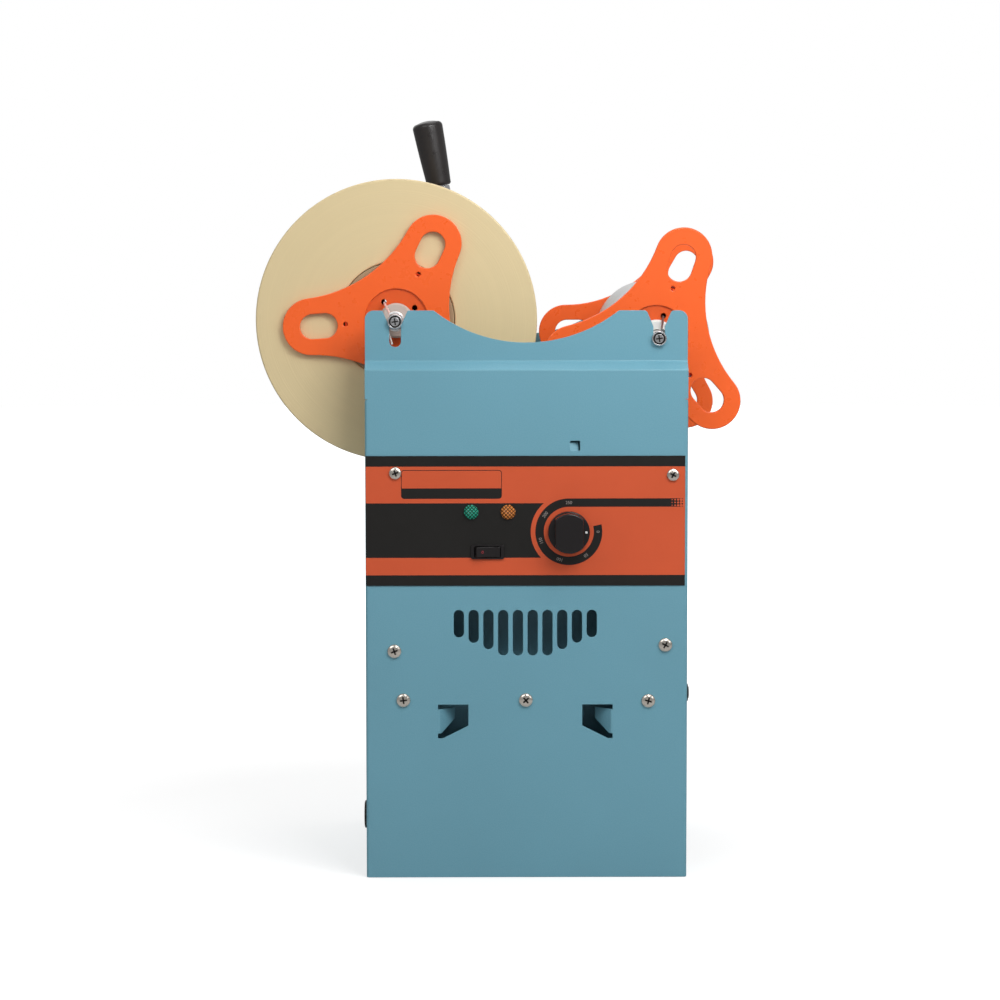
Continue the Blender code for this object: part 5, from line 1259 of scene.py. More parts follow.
@dataclass
class SideCover:
    """A folded cover, drawn flat with all its openings and then folded."""

    side: Side
    layout: Layout = LAYOUT
    bend: float = 0.002
    bend_steps: int = 5
    jog_bend: float = 0.0018
    relief: float = 0.0002
    edge: float = 0.0003
    corner: float = 0.006
    notch_half: float = 0.0085
    notch_depth: float = 0.0107
    notch_shoulders: Flat = (0.0015, 0.0030)
    slot_half: float = 0.0039
    supply_slot: float = 0.0247
    takeup_drop: float = 0.019
    axle_neck: float = 0.0038
    dip: float = 0.0216
    shoulder: float = 0.0176
    vent_pitch: float = 0.010
    vent_width: float = 0.0069
    shift: float = -0.0009
    vent_lengths: tuple[float, ...] = (0.0187, 0.0224, 0.0268, 0.0311, 0.0311)
    vent_drop: float = 0.0166
    window_drop: float = 0.0647
    window: tuple[float, float, float, float] = (0.0387, 0.0593, 0.0144, 0.0231)
    tab: Flat = (0.0175, 0.0033)
    tab_angle: float = 50.0
    mark: tuple[float, float, float, float] = (0.0033, 0.0293, 0.0067, 0.0003)
    mark_lean: float = 27.0
    screw_hole: float = 0.0022
    drive_hole: float = 0.0083
    control_holes: tuple[tuple[str, float], ...] = (
        ("heat_lamp", 0.0046),
        ("temperature_lamp", 0.0046),
        ("knob_shaft", 0.0052),
    )
    switch_inset: Flat = (0.0012, 0.0003)
    flange_holes: tuple[tuple[str, int, float], ...] = (
        ("fuse_holder", 1, 0.0054),
        ("cord_gland", -1, 0.0070),
    )
    screw_turns: tuple[float, ...] = (20, 62, 8, 41, 75)
    screw_lift: float = 0.0001
    label_screws: tuple[Flat, ...] = ((-0.0886, 0.0116), (0.0988, 0.0129))
    cover_screws: tuple[Flat, ...] = (
        (-0.0896, 0.0280),
        (0.0940, 0.0239),
        (-0.0836, 0.0615),
        (-0.0005, 0.0615),
        (0.0826, 0.0621),
    )

    def __post_init__(self) -> None:
        """Works out the path that the sheet follows up the face and over the jog."""
        plan = self.layout
        ear_foot = plan.box_height + plan.jog_rise
        corners = [
            (plan.cover_y, 0.0),
            (plan.cover_y, plan.box_height),
            (plan.ear_y, ear_foot),
            (plan.ear_y, plan.ear_top),
        ]
        self.path = rounded(corners, self.jog_bend, self.bend_steps, closed=False)
        lengths = [0.0]
        normals = []
        for before, after in zip(self.path, self.path[1:]):
            lengths.append(lengths[-1] + math.dist(before, after))
            run = (Vector(after) - Vector(before)).normalized()
            normals.append(Vector((-run.y, run.x)))
        self.lengths = lengths
        neighbours = zip(normals[:1] + normals, normals + normals[-1:])
        self.inward = [(one + two) / (1 + one.dot(two)) for one, two in neighbours]
        self.growth = lengths[-1] - plan.ear_top
        self.bend_start = plan.half - self.bend
        self.bend_run = math.pi / 2 * self.bend
        self.face_top = plan.roof_foot + plan.cover_y - plan.wall_out
        self.vent_top = plan.label_low.z - self.vent_drop
        self.window_top = self.vent_top - self.window_drop

    def notch(self, axle_x: float, foot: float) -> Outline:
        """Points down one side of an axle notch, round its foot and up the other side."""
        top = self.layout.ear_top
        neck = top - self.notch_depth
        points = [(axle_x - self.notch_half, top), (axle_x - self.slot_half, neck)]
        points += arc((axle_x, foot + self.slot_half), self.slot_half, 180, 360, 14)
        return points + [(axle_x + self.slot_half, neck), (axle_x + self.notch_half, top)]

    def ear(self) -> Outline:
        """The free edge of the ear from its rear foot to its front foot."""
        plan = self.layout
        top, half, corner = plan.ear_top, plan.half, self.corner
        chord = -plan.supply[0] - self.notch_half - self.shoulder
        radius = (self.dip**2 + chord**2) / (2 * self.dip)
        sweep = math.degrees(math.asin(chord / radius))
        points = arc((-half + corner, top - corner), corner, 180, 90, 8)
        dip = arc((0, top - self.dip + radius), radius, 270 - sweep, 270 + sweep, 40)
        notch = points[-1:] + self.notch(plan.supply[0], top - self.supply_slot) + dip[:1]
        points += rounded(notch, self.notch_shoulders[0], 4, False)[1:-1]
        points += rounded([points[-1]] + dip[:1] + dip[1:2], 0.001, 3, False)[1:-1] + dip[1:-1]
        takeup_foot = plan.takeup[1] - self.axle_neck
        notch = dip[-1:] + self.notch(plan.takeup[0], takeup_foot) + [(half - corner, top)]
        points += rounded(notch, self.notch_shoulders[1], 6, False)[:-1]
        points += arc((half - corner, top - corner), corner, 90, 0, 8)
        return [(x, z + self.growth) for x, z in points]

    def rim(self) -> Outline:
        """The outline of the whole flat sheet."""
        plan = self.layout
        flange = plan.cover_y - self.bend - plan.wall_out
        edge = self.bend_start + self.bend_run
        relief = self.face_top + self.relief
        left = [
            (-edge - flange, 0.0),
            (-edge - flange, plan.roof_foot),
            (-edge, plan.roof_foot + flange),
            (-self.bend_start - 0.7 * self.bend_run, self.face_top),
            (-self.bend_start, self.face_top),
            (-self.bend_start, relief),
            (-plan.half, relief),
        ]
        right = [(-x, z) for x, z in reversed(left)]
        return left + self.ear() + right

    def vents(self) -> list[Outline]:
        """The row of vent slots, longest in the middle."""
        made = []
        end = self.vent_width / 2
        for number, length in enumerate(self.vent_lengths + self.vent_lengths[::-1]):
            x = (number - len(self.vent_lengths) + 0.5) * self.vent_pitch + self.shift
            made.append(belt((x, self.vent_top - length + end), (x, self.vent_top - end), end, end, 10))
        return made

    def windows(self) -> list[Outline]:
        """The two hook windows."""
        inner, outer, inner_height, outer_height = self.window
        gap = self.tab[1]
        made = []
        for hand in (-1, 1):
            points = [
                (outer, self.window_top),
                (outer, self.window_top - outer_height),
                (outer - gap, self.window_top - outer_height),
                (inner, self.window_top - inner_height),
                (inner, self.window_top),
            ]
            made.append(rounded([(self.shift + hand * x, z) for x, z in points], 0.0005, 3))
        return made

    def mark_opening(self) -> Outline:
        """The square opening of the small pressed-in mark above the label."""
        rise, left, size, _ = self.mark
        foot = self.layout.label_high.z + rise
        return rectangle(left, left + size, foot, foot + size, 0.0004)

    def screw_places(self) -> list[Flat]:
        """Middles of the cover screws."""
        return [(x, self.vent_top - drop) for x, drop in self.cover_screws]

    def label_screw_places(self) -> list[Flat]:
        """Middles of the label's screws."""
        return [(x, self.layout.label_high.z - drop) for x, drop in self.label_screws]

    def openings(self) -> list[Outline]:
        """All the openings of this side's sheet, in the flat."""
        holes = [circle(place, self.screw_hole, 16) for place in self.screw_places()]
        if self.side is Side.FAR:
            return holes + [circle(self.layout.drive, self.drive_hole, 32)]
        holes += [circle(place, self.screw_hole, 16) for place in self.label_screw_places()]
        holes += self.vents() + self.windows() + [self.mark_opening()]
        for node, room in self.control_holes:
            x, _, z = middle_of(node)
            holes.append(circle((x, z), room, 32))
        low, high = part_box("switch_body")
        across, up = self.switch_inset
        holes.append(rectangle(low.x + across, high.x - across, low.z + up, high.z - up))
        flange_start = self.bend_start + self.bend_run
        for node, hand, radius in self.flange_holes:
            low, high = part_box(node)
            middle = (low + high) / 2
            run = self.layout.cover_y - self.bend + middle.y
            holes.append(circle((hand * (flange_start + run), middle.z), radius, 32))
        return holes

    def fold_point(self, across: float, along: float, depth: float) -> Vector:
        """Where a point of the flat sheet comes to lie.

        Args:
            across: Its distance from the middle line.
            along: Its distance from the foot.
            depth: How far it lies behind the outer face.

        Returns:
            The point on the folded sheet.
        """
        step = 0
        while step < len(self.lengths) - 2 and self.lengths[step + 1] < along:
            step += 1
        share = (along - self.lengths[step]) / (self.lengths[step + 1] - self.lengths[step])
        ends = [Vector(self.path[end]) + self.inward[end] * depth for end in (step, step + 1)]
        y, z = ends[0].lerp(ends[1], share)
        x = across
        past = abs(across) - self.bend_start
        if past > 1e-9 and along < self.face_top + 1e-6:
            turn = min(past / self.bend, math.pi / 2)
            reach = self.bend - depth
            x = math.copysign(self.bend_start + reach * math.sin(turn), across)
            y = self.layout.cover_y - self.bend + reach * math.cos(turn) - max(0.0, past - self.bend_run)
        return Vector((x, self.side.value * y, z))

    def fold(self, flat: Blank) -> Blank:
        """Scores the flat sheet at every bend step and folds it."""
        cuts = []
        for step in range(self.bend_steps + 1):
            across = self.bend_start + self.bend_run * step / self.bend_steps
            cuts += [((hand * across, 0, 0), (1, 0, 0)) for hand in (-1, 1)]
        cuts += [((0, length, 0), (0, 1, 0)) for length in self.lengths[1:-1]]
        half = self.layout.sheet / 2
        return flat.reshape(cuts, lambda x, y, z: self.fold_point(x, y, half - z))

    def hook_tab(self, hand: int) -> Blank:
        """The tab bent in at the outer edge of a hook window.

        Args:
            hand: -1 for the rear window and +1 for the front one.

        Returns:
            The tab.
        """
        _, outer, inner_height, outer_height = self.window
        length, gap = self.tab
        top, foot = self.window_top - gap, self.window_top - outer_height + gap
        tip_foot = self.window_top - inner_height + gap
        lap = 0.0004
        outline = [(-lap, foot), (gap, foot), (length, tip_foot), (length, top), (-lap, top)]
        flat = Blank.plate([rounded(outline, 0.0007, 3)], self.layout.sheet, self.edge)
        radius, half = self.bend, self.layout.sheet / 2
        sweep = math.radians(self.tab_angle)
        cuts = [((radius * sweep * step / 6, 0, 0), (1, 0, 0)) for step in range(7)]

        def bend(run: float, z: float, rise: float) -> Vector:
            """Where a point of the flat tab comes to lie."""
            turn = max(0.0, min(run / radius, sweep))
            past = max(0.0, run - radius * sweep)
            reach = radius - half + rise
            x = min(run, 0.0) + reach * math.sin(turn) + past * math.cos(sweep)
            y = radius - reach * math.cos(turn) + past * math.sin(sweep)
            return Vector((self.shift + hand * (outer - x), y - self.layout.cover_y, z))

        return flat.reshape(cuts, bend)

    def tongue(self) -> Blank:
        """The small square tongue above the label, pressed in at one corner."""
        rise, left, size, room = self.mark
        foot = self.layout.label_high.z + rise
        side = size - room
        flat = Blank.plate([rectangle(0, side, 0, side, 0.0004)], self.layout.sheet, self.edge)
        lean = Matrix.Rotation(math.radians(self.mark_lean), 4, Vector((-1, 1, 0)))
        flat.move(Matrix.Translation((0, 0, -self.layout.sheet / 2))).move(lean)
        return flat.move(Facing.NEAR.at((left, -self.layout.cover_y, foot)))

    def build(self) -> None:
        """Builds the cover and its screws."""
        near = self.side is Side.NEAR
        label = "control" if near else "drive"
        sheet = self.fold(Blank.plate([self.rim()] + self.openings(), self.layout.sheet, self.edge))
        if near:
            sheet.with_islands(self.hook_tab(-1), self.hook_tab(1), self.tongue())
        sheet.piece(f"{label}_cover_sheet", BLUE, Body.FRAME, [f"{label}_cover"])
        cover_y = self.side.value * (self.layout.cover_y + self.screw_lift)
        seats = [(f"{label}_cover_screw", PanScrew(radius=0.0047, wing=0.0030), cover_y, self.screw_places())]
        if near:
            label_y = self.layout.label_low.y - self.screw_lift
            seats.append(("label_screw", PanScrew(), label_y, self.label_screw_places()))
        facing = Facing.of(self.side)
        darks = []
        for name, screw, y, places in seats:
            for number, ((x, z), turn) in enumerate(zip(places, self.screw_turns)):
                screw.blank((x, y, z), facing, turn).piece(f"{name}_{number + 1}", ZINC, Body.FRAME)
                darks.append(screw.dark((x, y, z), facing, turn))
        # Black bars in each screw's cross, painted shade in the recesses.
        darks[0].with_islands(*darks[1:]).piece(f"{label}_screw_recesses", BLACK, Body.FRAME)


@dataclass
class InnerFrame:
    """The bay walls, base, rear panel and plates that keep their nodes."""

    painted: tuple[str, ...] = ("control_inner_wall", "drive_inner_wall", "base_plate", "rear_panel")
    plates: tuple[str, ...] = (
        "post_bracket_near",
        "post_bracket_far",
        "tray_rail_near",
        "tray_rail_far",
        "supply_saddle_near",
        "supply_saddle_far",
        "cup_tray",
    )

    def build(self) -> None:
        """Dresses the nodes."""
        for name in self.painted:
            redress(name, BLUE)
        for name in self.plates:
            redress(name, STEEL, 0.0002)
        redress("terminal_block", WHITE, 0.0004)
        redress("temperature_controller", BLACK, 0.0006)
        self.build_seam()

    def build_seam(self) -> None:
        """The paint that closes the seam between the rear panel, the walls and the base."""
        low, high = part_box("rear_panel")
        base_low, base_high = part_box("base_plate")
        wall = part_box("drive_inner_wall")[0].y
        lap = 0.0001
        back, front = base_low.x + lap, base_low.x + LAYOUT.sheet
        parts = [Blank.box((low.x + lap, -high.y, base_high.z - lap), (front, high.y, low.z + lap))]
        for sign in (-1, 1):
            inner, outer = sorted((sign * (high.y - lap), sign * (wall + lap)))
            parts.append(Blank.box((back, inner, low.z - lap), (front, outer, high.z - 0.0005)))
        parts[0].with_islands(*parts[1:]).piece("rear_seam_paint", BLUE, Body.FRAME)


# Control panel


@dataclass
class DialPrint:
    """The plain numbers round the dial."""

    radius: float = 0.01965
    size: float = 0.0030
    numbers: tuple[str, ...] = ("0", "50", "100", "150", "200", "250")
    step: float = 54.0
    thickness: float = 0.00003
    layout: Layout = LAYOUT

    def blank(self, text: str, angle: float) -> Blank:
        """One number, its head away from the knob.

        Args:
            text: The number.
            angle: Its place round the dial, in degrees.

        Returns:
            The number as a thin raised print.
        """
        curve = bpy.data.curves.new("number", "FONT")
        curve.body = text
        curve.size = self.size
        curve.align_x = curve.align_y = "CENTER"
        curve.extrude = self.thickness
        curve.resolution_u = 4
        x, z = polar(self.radius, angle)
        place = (LABEL.dial[0] + x, self.layout.label_low.y, LABEL.dial[1] + z)
        return Blank(drawn(curve)).move(Facing.NEAR.at(place) @ spin(angle - 90))

    def build(self) -> None:
        """Prints all the numbers as one piece."""
        blanks = [self.blank(text, -self.step * number) for number, text in enumerate(self.numbers)]
        blanks[0].with_islands(*blanks[1:]).piece("dial_numbers", PRINT_GREY, Body.FRAME)


@dataclass
class Knob:
    """The temperature knob: a skirt, a crown with two flats and a white dot."""

    radius: float = 0.0141
    crown: float = 0.0134
    height: float = 0.016
    skirt: float = 0.005
    flat: float = 0.0095
    shaft: float = 0.003
    dot_radius: float = 0.0008
    dot_reach: float = 0.0117
    dot_ends: Flat = (0.0002, -0.0004)
    dot_lift: float = 0.0001
    skirt_edge: float = 0.0006
    crown_edge: float = 0.0009
    lap: float = 0.001

    def build(self) -> None:
        """Builds the knob, its dot and its shaft."""
        x, _, z = middle_of("temperature_knob")
        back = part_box("temperature_knob")[1].y
        ring = ring_section(self.radius, self.shaft + SEAT, self.skirt, 0)
        knob = Blank.turned(ring, 96, self.skirt_edge, True)
        half_angle = math.degrees(math.acos(self.flat / self.crown))
        outline = arc((0, 0), self.crown, half_angle, 180 - half_angle, 40)
        outline += arc((0, 0), self.crown, 180 + half_angle, 360 - half_angle, 40)
        tall = self.height - self.skirt + self.lap
        crown = Blank.plate([outline], tall, self.crown_edge)
        crown.move(Matrix.Translation((0, 0, self.height - tall / 2)))
        knob.with_islands(crown).move(Facing.NEAR.at((x, back, z)))
        knob.piece("temperature_knob_moulding", GLOSS, Body.KNOB, ["temperature_knob"])
        dot = Blank.turned(rod_section(self.dot_radius, *self.dot_ends), 32)
        dot.move(Facing.NEAR.at((x + self.dot_reach, back - self.skirt + self.dot_lift, z)))
        dot.piece("knob_dot", PRINT_WHITE, Body.KNOB)
        low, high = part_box("knob_shaft")
        shaft = Blank.turned(rod_section(self.shaft, -high.y, -low.y), 32, SEAT)
        shaft.move(Facing.NEAR.at((x, 0, z)))
        shaft.piece("knob_spindle", STEEL, Body.KNOB, ["knob_shaft"])


@dataclass
class PowerSwitch:
    """A rocker switch in a rounded bezel."""

    bezel: float = 0.0012
    corner: float = 0.0012
    well: Flat = (0.0089, 0.0037)
    well_corner: float = 0.0006
    sleeve_inset: Flat = (0.0016, 0.0007)
    floor: float = 0.002
    rocker_radius: float = 0.0085
    rocker_half: float = 0.0034
    rocker_ends: Flat = (20.0, 45.0)
    pivot_y: float = -0.1093
    dish: float = 0.22
    dish_steps: int = 12
    tilt: float = 9.0
    mark: Space = (0.0005, 0.0009, 0.0002)
    mark_reach: float = 0.45
    mark_lean: float = 13.0

    def build(self) -> None:
        """Builds the body with its bezel, and the rocker with its mark."""
        low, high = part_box("switch_body")
        x, _, z = middle_of("switch_body")
        rim = rectangle(low.x, high.x, low.z, high.z, self.corner)
        width, height = self.well
        hole = rectangle(x - width, x + width, z - height, z + height, self.well_corner)
        face = Blank.plate([rim, hole], self.bezel, 0.0003)
        face.move(Facing.NEAR.at((0, low.y + self.bezel / 2, 0)))
        across, up = self.sleeve_inset
        outer = rectangle(low.x + across, high.x - across, low.z + up, high.z - up, self.well_corner)
        depth = high.y - low.y - self.bezel
        sleeve = Blank.plate([outer, hole], depth, 0.0002)
        sleeve.move(Facing.NEAR.at((0, low.y + self.bezel + depth / 2 - 0.0002, 0)))
        floor = Blank.plate([outer], self.floor).move(Facing.NEAR.at((0, high.y - 0.0011, 0)))
        face.with_islands(sleeve, floor)
        face.piece("switch_housing", GLOSS, Body.FRAME, ["switch_body"])
        self.build_rocker(z)

    def build_rocker(self, z: float) -> None:
        """The rocker, hollow across its face and tipped to one end."""
        pivot = (middle_of("switch_rocker")[0], self.pivot_y, z)
        radius, dish = self.rocker_radius, self.dish * self.rocker_radius
        angle, sweep = self.rocker_ends
        start, end = polar(radius, angle), polar(radius, 180 - angle)
        outline = arc((0, 0), radius, angle - sweep, angle, 8)
        for step in range(1, self.dish_steps):
            share = step / self.dish_steps
            sag = (start[1] - dish) * math.sin(math.pi * share)
            along = [one + (two - one) * share for one, two in zip(start, end)]
            outline.append((along[0], along[1] - sag))
        outline += arc((0, 0), radius, 180 - angle, 180 - angle + sweep, 8)
        tip = Matrix.Rotation(math.radians(-self.tilt), 2)
        outline = [tuple(tip @ Vector(point)) for point in outline]
        rocker = Blank.plate([outline], 2 * self.rocker_half, 0.0003)
        rocker.move(Matrix.Translation(pivot) @ Matrix.Rotation(math.pi, 4, "X"))
        rocker.piece("switch_rocker_moulding", GLOSS, Body.ROCKER, ["switch_rocker"])
        spot = tip @ Vector((-self.mark_reach * radius, dish + 0.00018))
        inner, outer, rise = self.mark
        ring = [(inner, rise), (outer, rise), (outer, -rise), (inner, -rise)]
        place = Matrix.Translation((pivot[0] + spot.x, pivot[1] - spot.y, z))
        mark = Blank.turned(ring, 24, 0, True).move(place @ spin(self.mark_lean) @ Facing.NEAR.value)
        mark.piece("switch_mark", MARK_RED, Body.ROCKER)


@dataclass
class PilotLamp:
    """A pilot lamp with a lattice lens in a thin dark rim."""

    node: str
    finish: LampLens
    radius: float = 0.00495
    dome: float = 0.003
    barrel: float = 0.0042
    face_share: float = 0.95
    crown_share: float = 0.65

    def build(self) -> None:
        """Builds the lens and its barrel as one lamp."""
        low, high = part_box(self.node)
        x, _, z = middle_of(self.node)
        seat = low.y + self.dome
        depth = high.y - seat
        face = self.radius * self.face_share
        profile = [(0, self.dome)]
        for angle in range(80, 0, -10):
            rise = 1 - self.crown_share + self.crown_share * math.sin(math.radians(angle))
            profile.append((polar(face, angle)[0], self.dome * rise))
        profile += [(face, 0.3 * self.dome), (self.radius, 0.25 * self.dome), (self.radius, 0)]
        profile += [(self.barrel, 0), (self.barrel, -depth), (0, -depth)]
        lamp = Blank.turned(profile, 48).move(Facing.NEAR.at((x, seat, z)))
        lamp.piece(f"{self.node}_lens", self.finish, Body.FRAME, [self.node])


@dataclass
class FlangeFittings:
    """The fuse holder in front and the cord gland at the rear."""

    slot: float = 0.0012
    barrel: float = 0.005
    bush_body: float = 0.0066
    bush_bore: float = 0.004

    def build(self) -> None:
        """Builds both fittings."""
        self.build_fuse()
        self.build_gland()

    def seat(self, node: str, facing: Facing) -> tuple[float, float, float, Matrix]:
        """Where a fitting sits on its flange.

        Args:
            node: The fitting's node.
            facing: Where its head points, to the front or the rear.

        Returns:
            Its radius, how far it stands out, its depth behind that, and its matrix.
        """
        low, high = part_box(node)
        _, y, z = middle_of(node)
        hand = 1 if facing is Facing.FRONT else -1
        stand = max(hand * low.x, hand * high.x) - LAYOUT.half - SEAT
        place = (hand * (LAYOUT.half + SEAT), y, z)
        return (high.z - low.z) / 2, stand, high.x - low.x - stand, facing.at(place)

    def build_fuse(self) -> None:
        """A round cap with a screwdriver slot over a barrel."""
        radius, stand, depth, place = self.seat("fuse_holder", Facing.FRONT)
        profile = [(0, stand), (0.62 * radius, stand), (0.68 * radius, 0.72 * stand)]
        profile += [(0.9 * radius, 0.72 * stand), (radius, 0.4 * stand), (radius, 0)]
        profile += [(self.barrel, 0), (self.barrel, -depth), (0, -depth)]
        cap = Blank.turned(profile, 48, 0.0002)
        half = self.slot / 2
        cap.cut(Blank.box((-0.5 * radius, -half, 0.35 * stand), (0.5 * radius, half, 2 * stand)))
        cap.move(place).piece("fuse_cap", BLACK, Body.FRAME, ["fuse_holder"])

    def build_gland(self) -> None:
        """A flanged bush with a rounded mouth."""
        radius, stand, depth, place = self.seat("cord_gland", Facing.REAR)
        body, bore = self.bush_body, self.bush_bore
        profile = [(radius, 0.7 * stand), (radius, 0), (body, 0), (body, -depth), (bore, -depth)]
        profile += [(bore, 0.7 * stand), (1.25 * bore, stand), (0.85 * radius, stand)]
        bush = Blank.turned(profile, 48, SEAT, True).move(place)
        bush.piece("gland_bush", BLACK, Body.FRAME, ["cord_gland"])


@dataclass
class ControlPanel:
    """The label and all that stands on it."""

    def build(self) -> None:
        """Dresses the label and builds the controls."""
        redress("control_label", LABEL, 0.00008)
        DialPrint().build()
        Knob().build()
        PowerSwitch().build()
        PilotLamp("heat_lamp", GREEN).build()
        PilotLamp("temperature_lamp", AMBER).build()
        FlangeFittings().build()


# Reels


@dataclass
class Reel:
    """One reel: axle, two flanges, two collars, core, end screws and drive wire."""

    kind: str
    body: Body
    centre: Flat
    near_angle: float
    far_angle: float
    hub_angle: float
    wire_angle: float
    wire_tail: bool
    core: Flat
    core_finish: Finish
    collar_finish: Finish
    wire_finish: Finish
    layout: Layout = LAYOUT
    tip_centre: float = 0.0585
    tip_radius: float = 0.0195
    waists: Flat = (0.0366, 0.0366)
    thickness: float = 0.004
    film_half: float = 0.062
    slot: tuple[float, float, float] = (0.0533, 0.0258, 0.0171)
    arm_hole: Flat = (0.035, 0.0015)
    hub_recess: Flat = (0.0216, 0.0015)
    hub_hole: Flat = (0.0152, 0.0019)
    spigot: tuple[float, float, float] = (0.0345, 0.0035, 0.012)
    rib: float = 0.005
    axle_radius: float = 0.005
    collar: Flat = (0.0119, 0.0075)
    wire: float = 0.0008
    gap: float = SEAT
    neck: float = 0.0035
    head: float = 0.005
    boss: float = 0.0030
    groove: float = 0.0041
    sink: float = 0.0022
    cross_turn: float = 8.0
    tail_end: Flat = (0.0156, 262.0)

    @property
    def face(self) -> float:
        """Outer face of a flange, counted from the middle plane."""
        return self.film_half + self.gap + self.thickness

    def outline(self, angle: float, waist: float) -> Outline:
        """Three round-ended arms joined by hollow waists.

        Args:
            angle: Heading of the first arm, in degrees.
            waist: Reach of the hollows' nearest points.

        Returns:
            The closed outline about the axle.
        """
        tip, radius = self.tip_centre, self.tip_radius
        hollow = (tip**2 + waist**2 - tip * waist - radius**2) / (2 * radius + tip - 2 * waist)
        sweep = math.degrees(math.asin(tip * math.sin(math.pi / 3) / (hollow + radius)))
        points: Outline = []
        for arm in range(3):
            heading = angle + 120 * arm
            points += arc(polar(tip, heading), radius, heading - 60 - sweep, heading + 60 + sweep, 30)
            middle = polar(waist + hollow, heading + 60)
            points += arc(middle, hollow, heading + 240 + sweep, heading + 240 - sweep, 16)[1:-1]
        return points

    def holes(self, angle: float, hub_angle: float) -> list[Outline]:
        """The bore, finger slots, arm holes and hub holes.

        Args:
            angle: Heading of the first arm, in degrees.
            hub_angle: Heading of the first hub hole, in degrees.

        Returns:
            Their outlines about the axle.
        """
        middle, length, width = self.slot
        made = [circle((0, 0), self.axle_radius + self.gap, 32)]
        for arm in range(3):
            heading = angle + 120 * arm
            half = (length - width) / 2
            inner, outer = polar(middle - half, heading), polar(middle + half, heading)
            made.append(belt(inner, outer, width / 2, width / 2, 16))
            made.append(circle(polar(self.arm_hole[0], heading), self.arm_hole[1], 16))
        for quarter in range(4):
            made.append(circle(polar(self.hub_hole[0], hub_angle + 90 * quarter), self.hub_hole[1], 18))
        return made

    def build_flange(self, side: Side, angle: float, hub_angle: float) -> None:
        """A flange with rounded edges, a sunk hub and a ribbed spigot.

        Args:
            side: Which end of the reel.
            angle: Heading of its first arm, in degrees.
            hub_angle: Heading of its first hub hole, in degrees.
        """
        back = self.film_half + self.gap
        radius, depth = self.hub_recess
        holes = self.holes(angle, hub_angle)
        arms, hub = [hole for hole in holes if self.beyond_hub(hole)], holes[:1] + holes[-4:]
        rim = self.outline(angle, self.waists[side is Side.FAR])
        plate = Blank.plate([rim, circle((0, 0), radius, 72)] + arms, self.thickness, 0.0007)
        plate.move(self.stand(side.value * (back + self.thickness / 2)))
        # The sunk hub disc takes the darker hub orange, painted shade in the recess.
        disc = Blank.plate([circle((0, 0), radius + 0.0003, 72)] + hub, self.thickness - depth, 0.0002)
        disc.move(self.stand(side.value * (back + (self.thickness - depth) / 2)))
        plate.with_islands(*self.spigot_parts(side, angle, back))
        node = f"{self.kind}_flange_{side.name.lower()}"
        plate.piece(f"{node}_moulding", REEL, self.body, [node])
        disc.piece(f"{node}_hub", SHADED_HUB_ORANGE, self.body)

    def beyond_hub(self, hole: Outline) -> bool:
        """Whether a hole lies outside the sunk hub."""
        return min(math.hypot(x, y) for x, y in hole) > self.hub_recess[0]

    def spigot_parts(self, side: Side, angle: float, back: float) -> list[Blank]:
        """The spigot tube behind a flange and its three ribs."""
        radius, wall, length = self.spigot
        root, tip = back + self.thickness / 3, back - length
        stand = self.stand(facing=Facing.of(side))
        ring = ring_section(radius, radius - wall, root, tip)
        parts = [Blank.turned(ring, 64, 0.0003, True).move(stand)]
        start, end = radius - wall / 2, self.core[0] - self.core[1] - self.gap
        for arm in range(3):
            rib = Blank.box((start, -self.rib / 2, tip + 0.0005), (end, self.rib / 2, root)).soften(0.0003)
            heading = math.radians(angle + 120 * arm)
            turn = Matrix.Rotation(heading if side is Side.NEAR else math.pi - heading, 4, "Z")
            parts.append(rib.move(stand @ turn))
        return parts

    def build_core(self) -> None:
        """The tube that the film is wound on."""
        half = self.film_half - self.gap
        outer, wall = self.core
        tube = Blank.turned(ring_section(outer, outer - wall, half, -half), 96, 0.0004, True)
        node = f"{self.kind}_core"
        tube.move(self.stand()).piece(f"{node}_tube", self.core_finish, self.body, [node])

    def stand(self, y: float = 0.0, facing: Facing = Facing.NEAR) -> Matrix:
        """The matrix that sets a turned piece on the axle."""
        return facing.at((self.centre[0], y, self.centre[1]))

    def build_axle(self) -> None:
        """The axle with its necks and a recessed screw head at each end."""
        node = f"{self.kind}_axle"
        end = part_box(node)[1].y
        seat = self.layout.ear_y + self.gap
        shoulder = self.layout.ear_y - self.layout.sheet - self.gap
        rim, bevel = self.head, 0.0003
        half = [(0, end - 0.0004), (self.boss, end - 0.0004), (self.boss, end - self.sink)]
        half += [(self.groove, end - self.sink), (self.groove, end), (rim - bevel, end), (rim, end - bevel)]
        half += [(rim, seat), (self.neck, seat), (self.neck, shoulder), (self.axle_radius, shoulder)]
        axle = Blank.turned(mirrored(half), 64, 0.0002)
        for flip in (math.pi, 0):
            for quarter in (0, 90):
                bar = Blank.box((-0.0024, -0.0005, end - 0.0016), (0.0024, 0.0005, end + 0.001))
                axle.cut(bar.move(Matrix.Rotation(flip, 4, "X") @ spin(quarter + self.cross_turn)))
        axle.move(self.stand()).piece(f"{node}_rod", CHROME, self.body, [node])
        for side in Side:
            self.build_recess(side, end)

    def build_recess(self, side: Side, end: float) -> None:
        """Painted shade in the groove and the cross of an axle's end.

        Args:
            side: Which end.
            end: Where the axle ends.
        """
        top = end - 0.0006
        ring = ring_section(self.groove - 0.0001, self.boss + 0.0001, top, end - self.sink)
        # A black ring and cross bars, painted shade in the axle end's hollows.
        painted_shade = Blank.turned(ring, 48, 0, True)
        for quarter in (0, 90):
            bar = Blank.box((-0.0023, -0.0004, end - 0.0015), (0.0023, 0.0004, top))
            painted_shade.with_islands(bar.move(spin(quarter + self.cross_turn)))
        name = f"{self.kind}_axle_recess_{side.name.lower()}"
        painted_shade.move(self.stand(facing=Facing.of(side))).piece(name, BLACK, self.body)

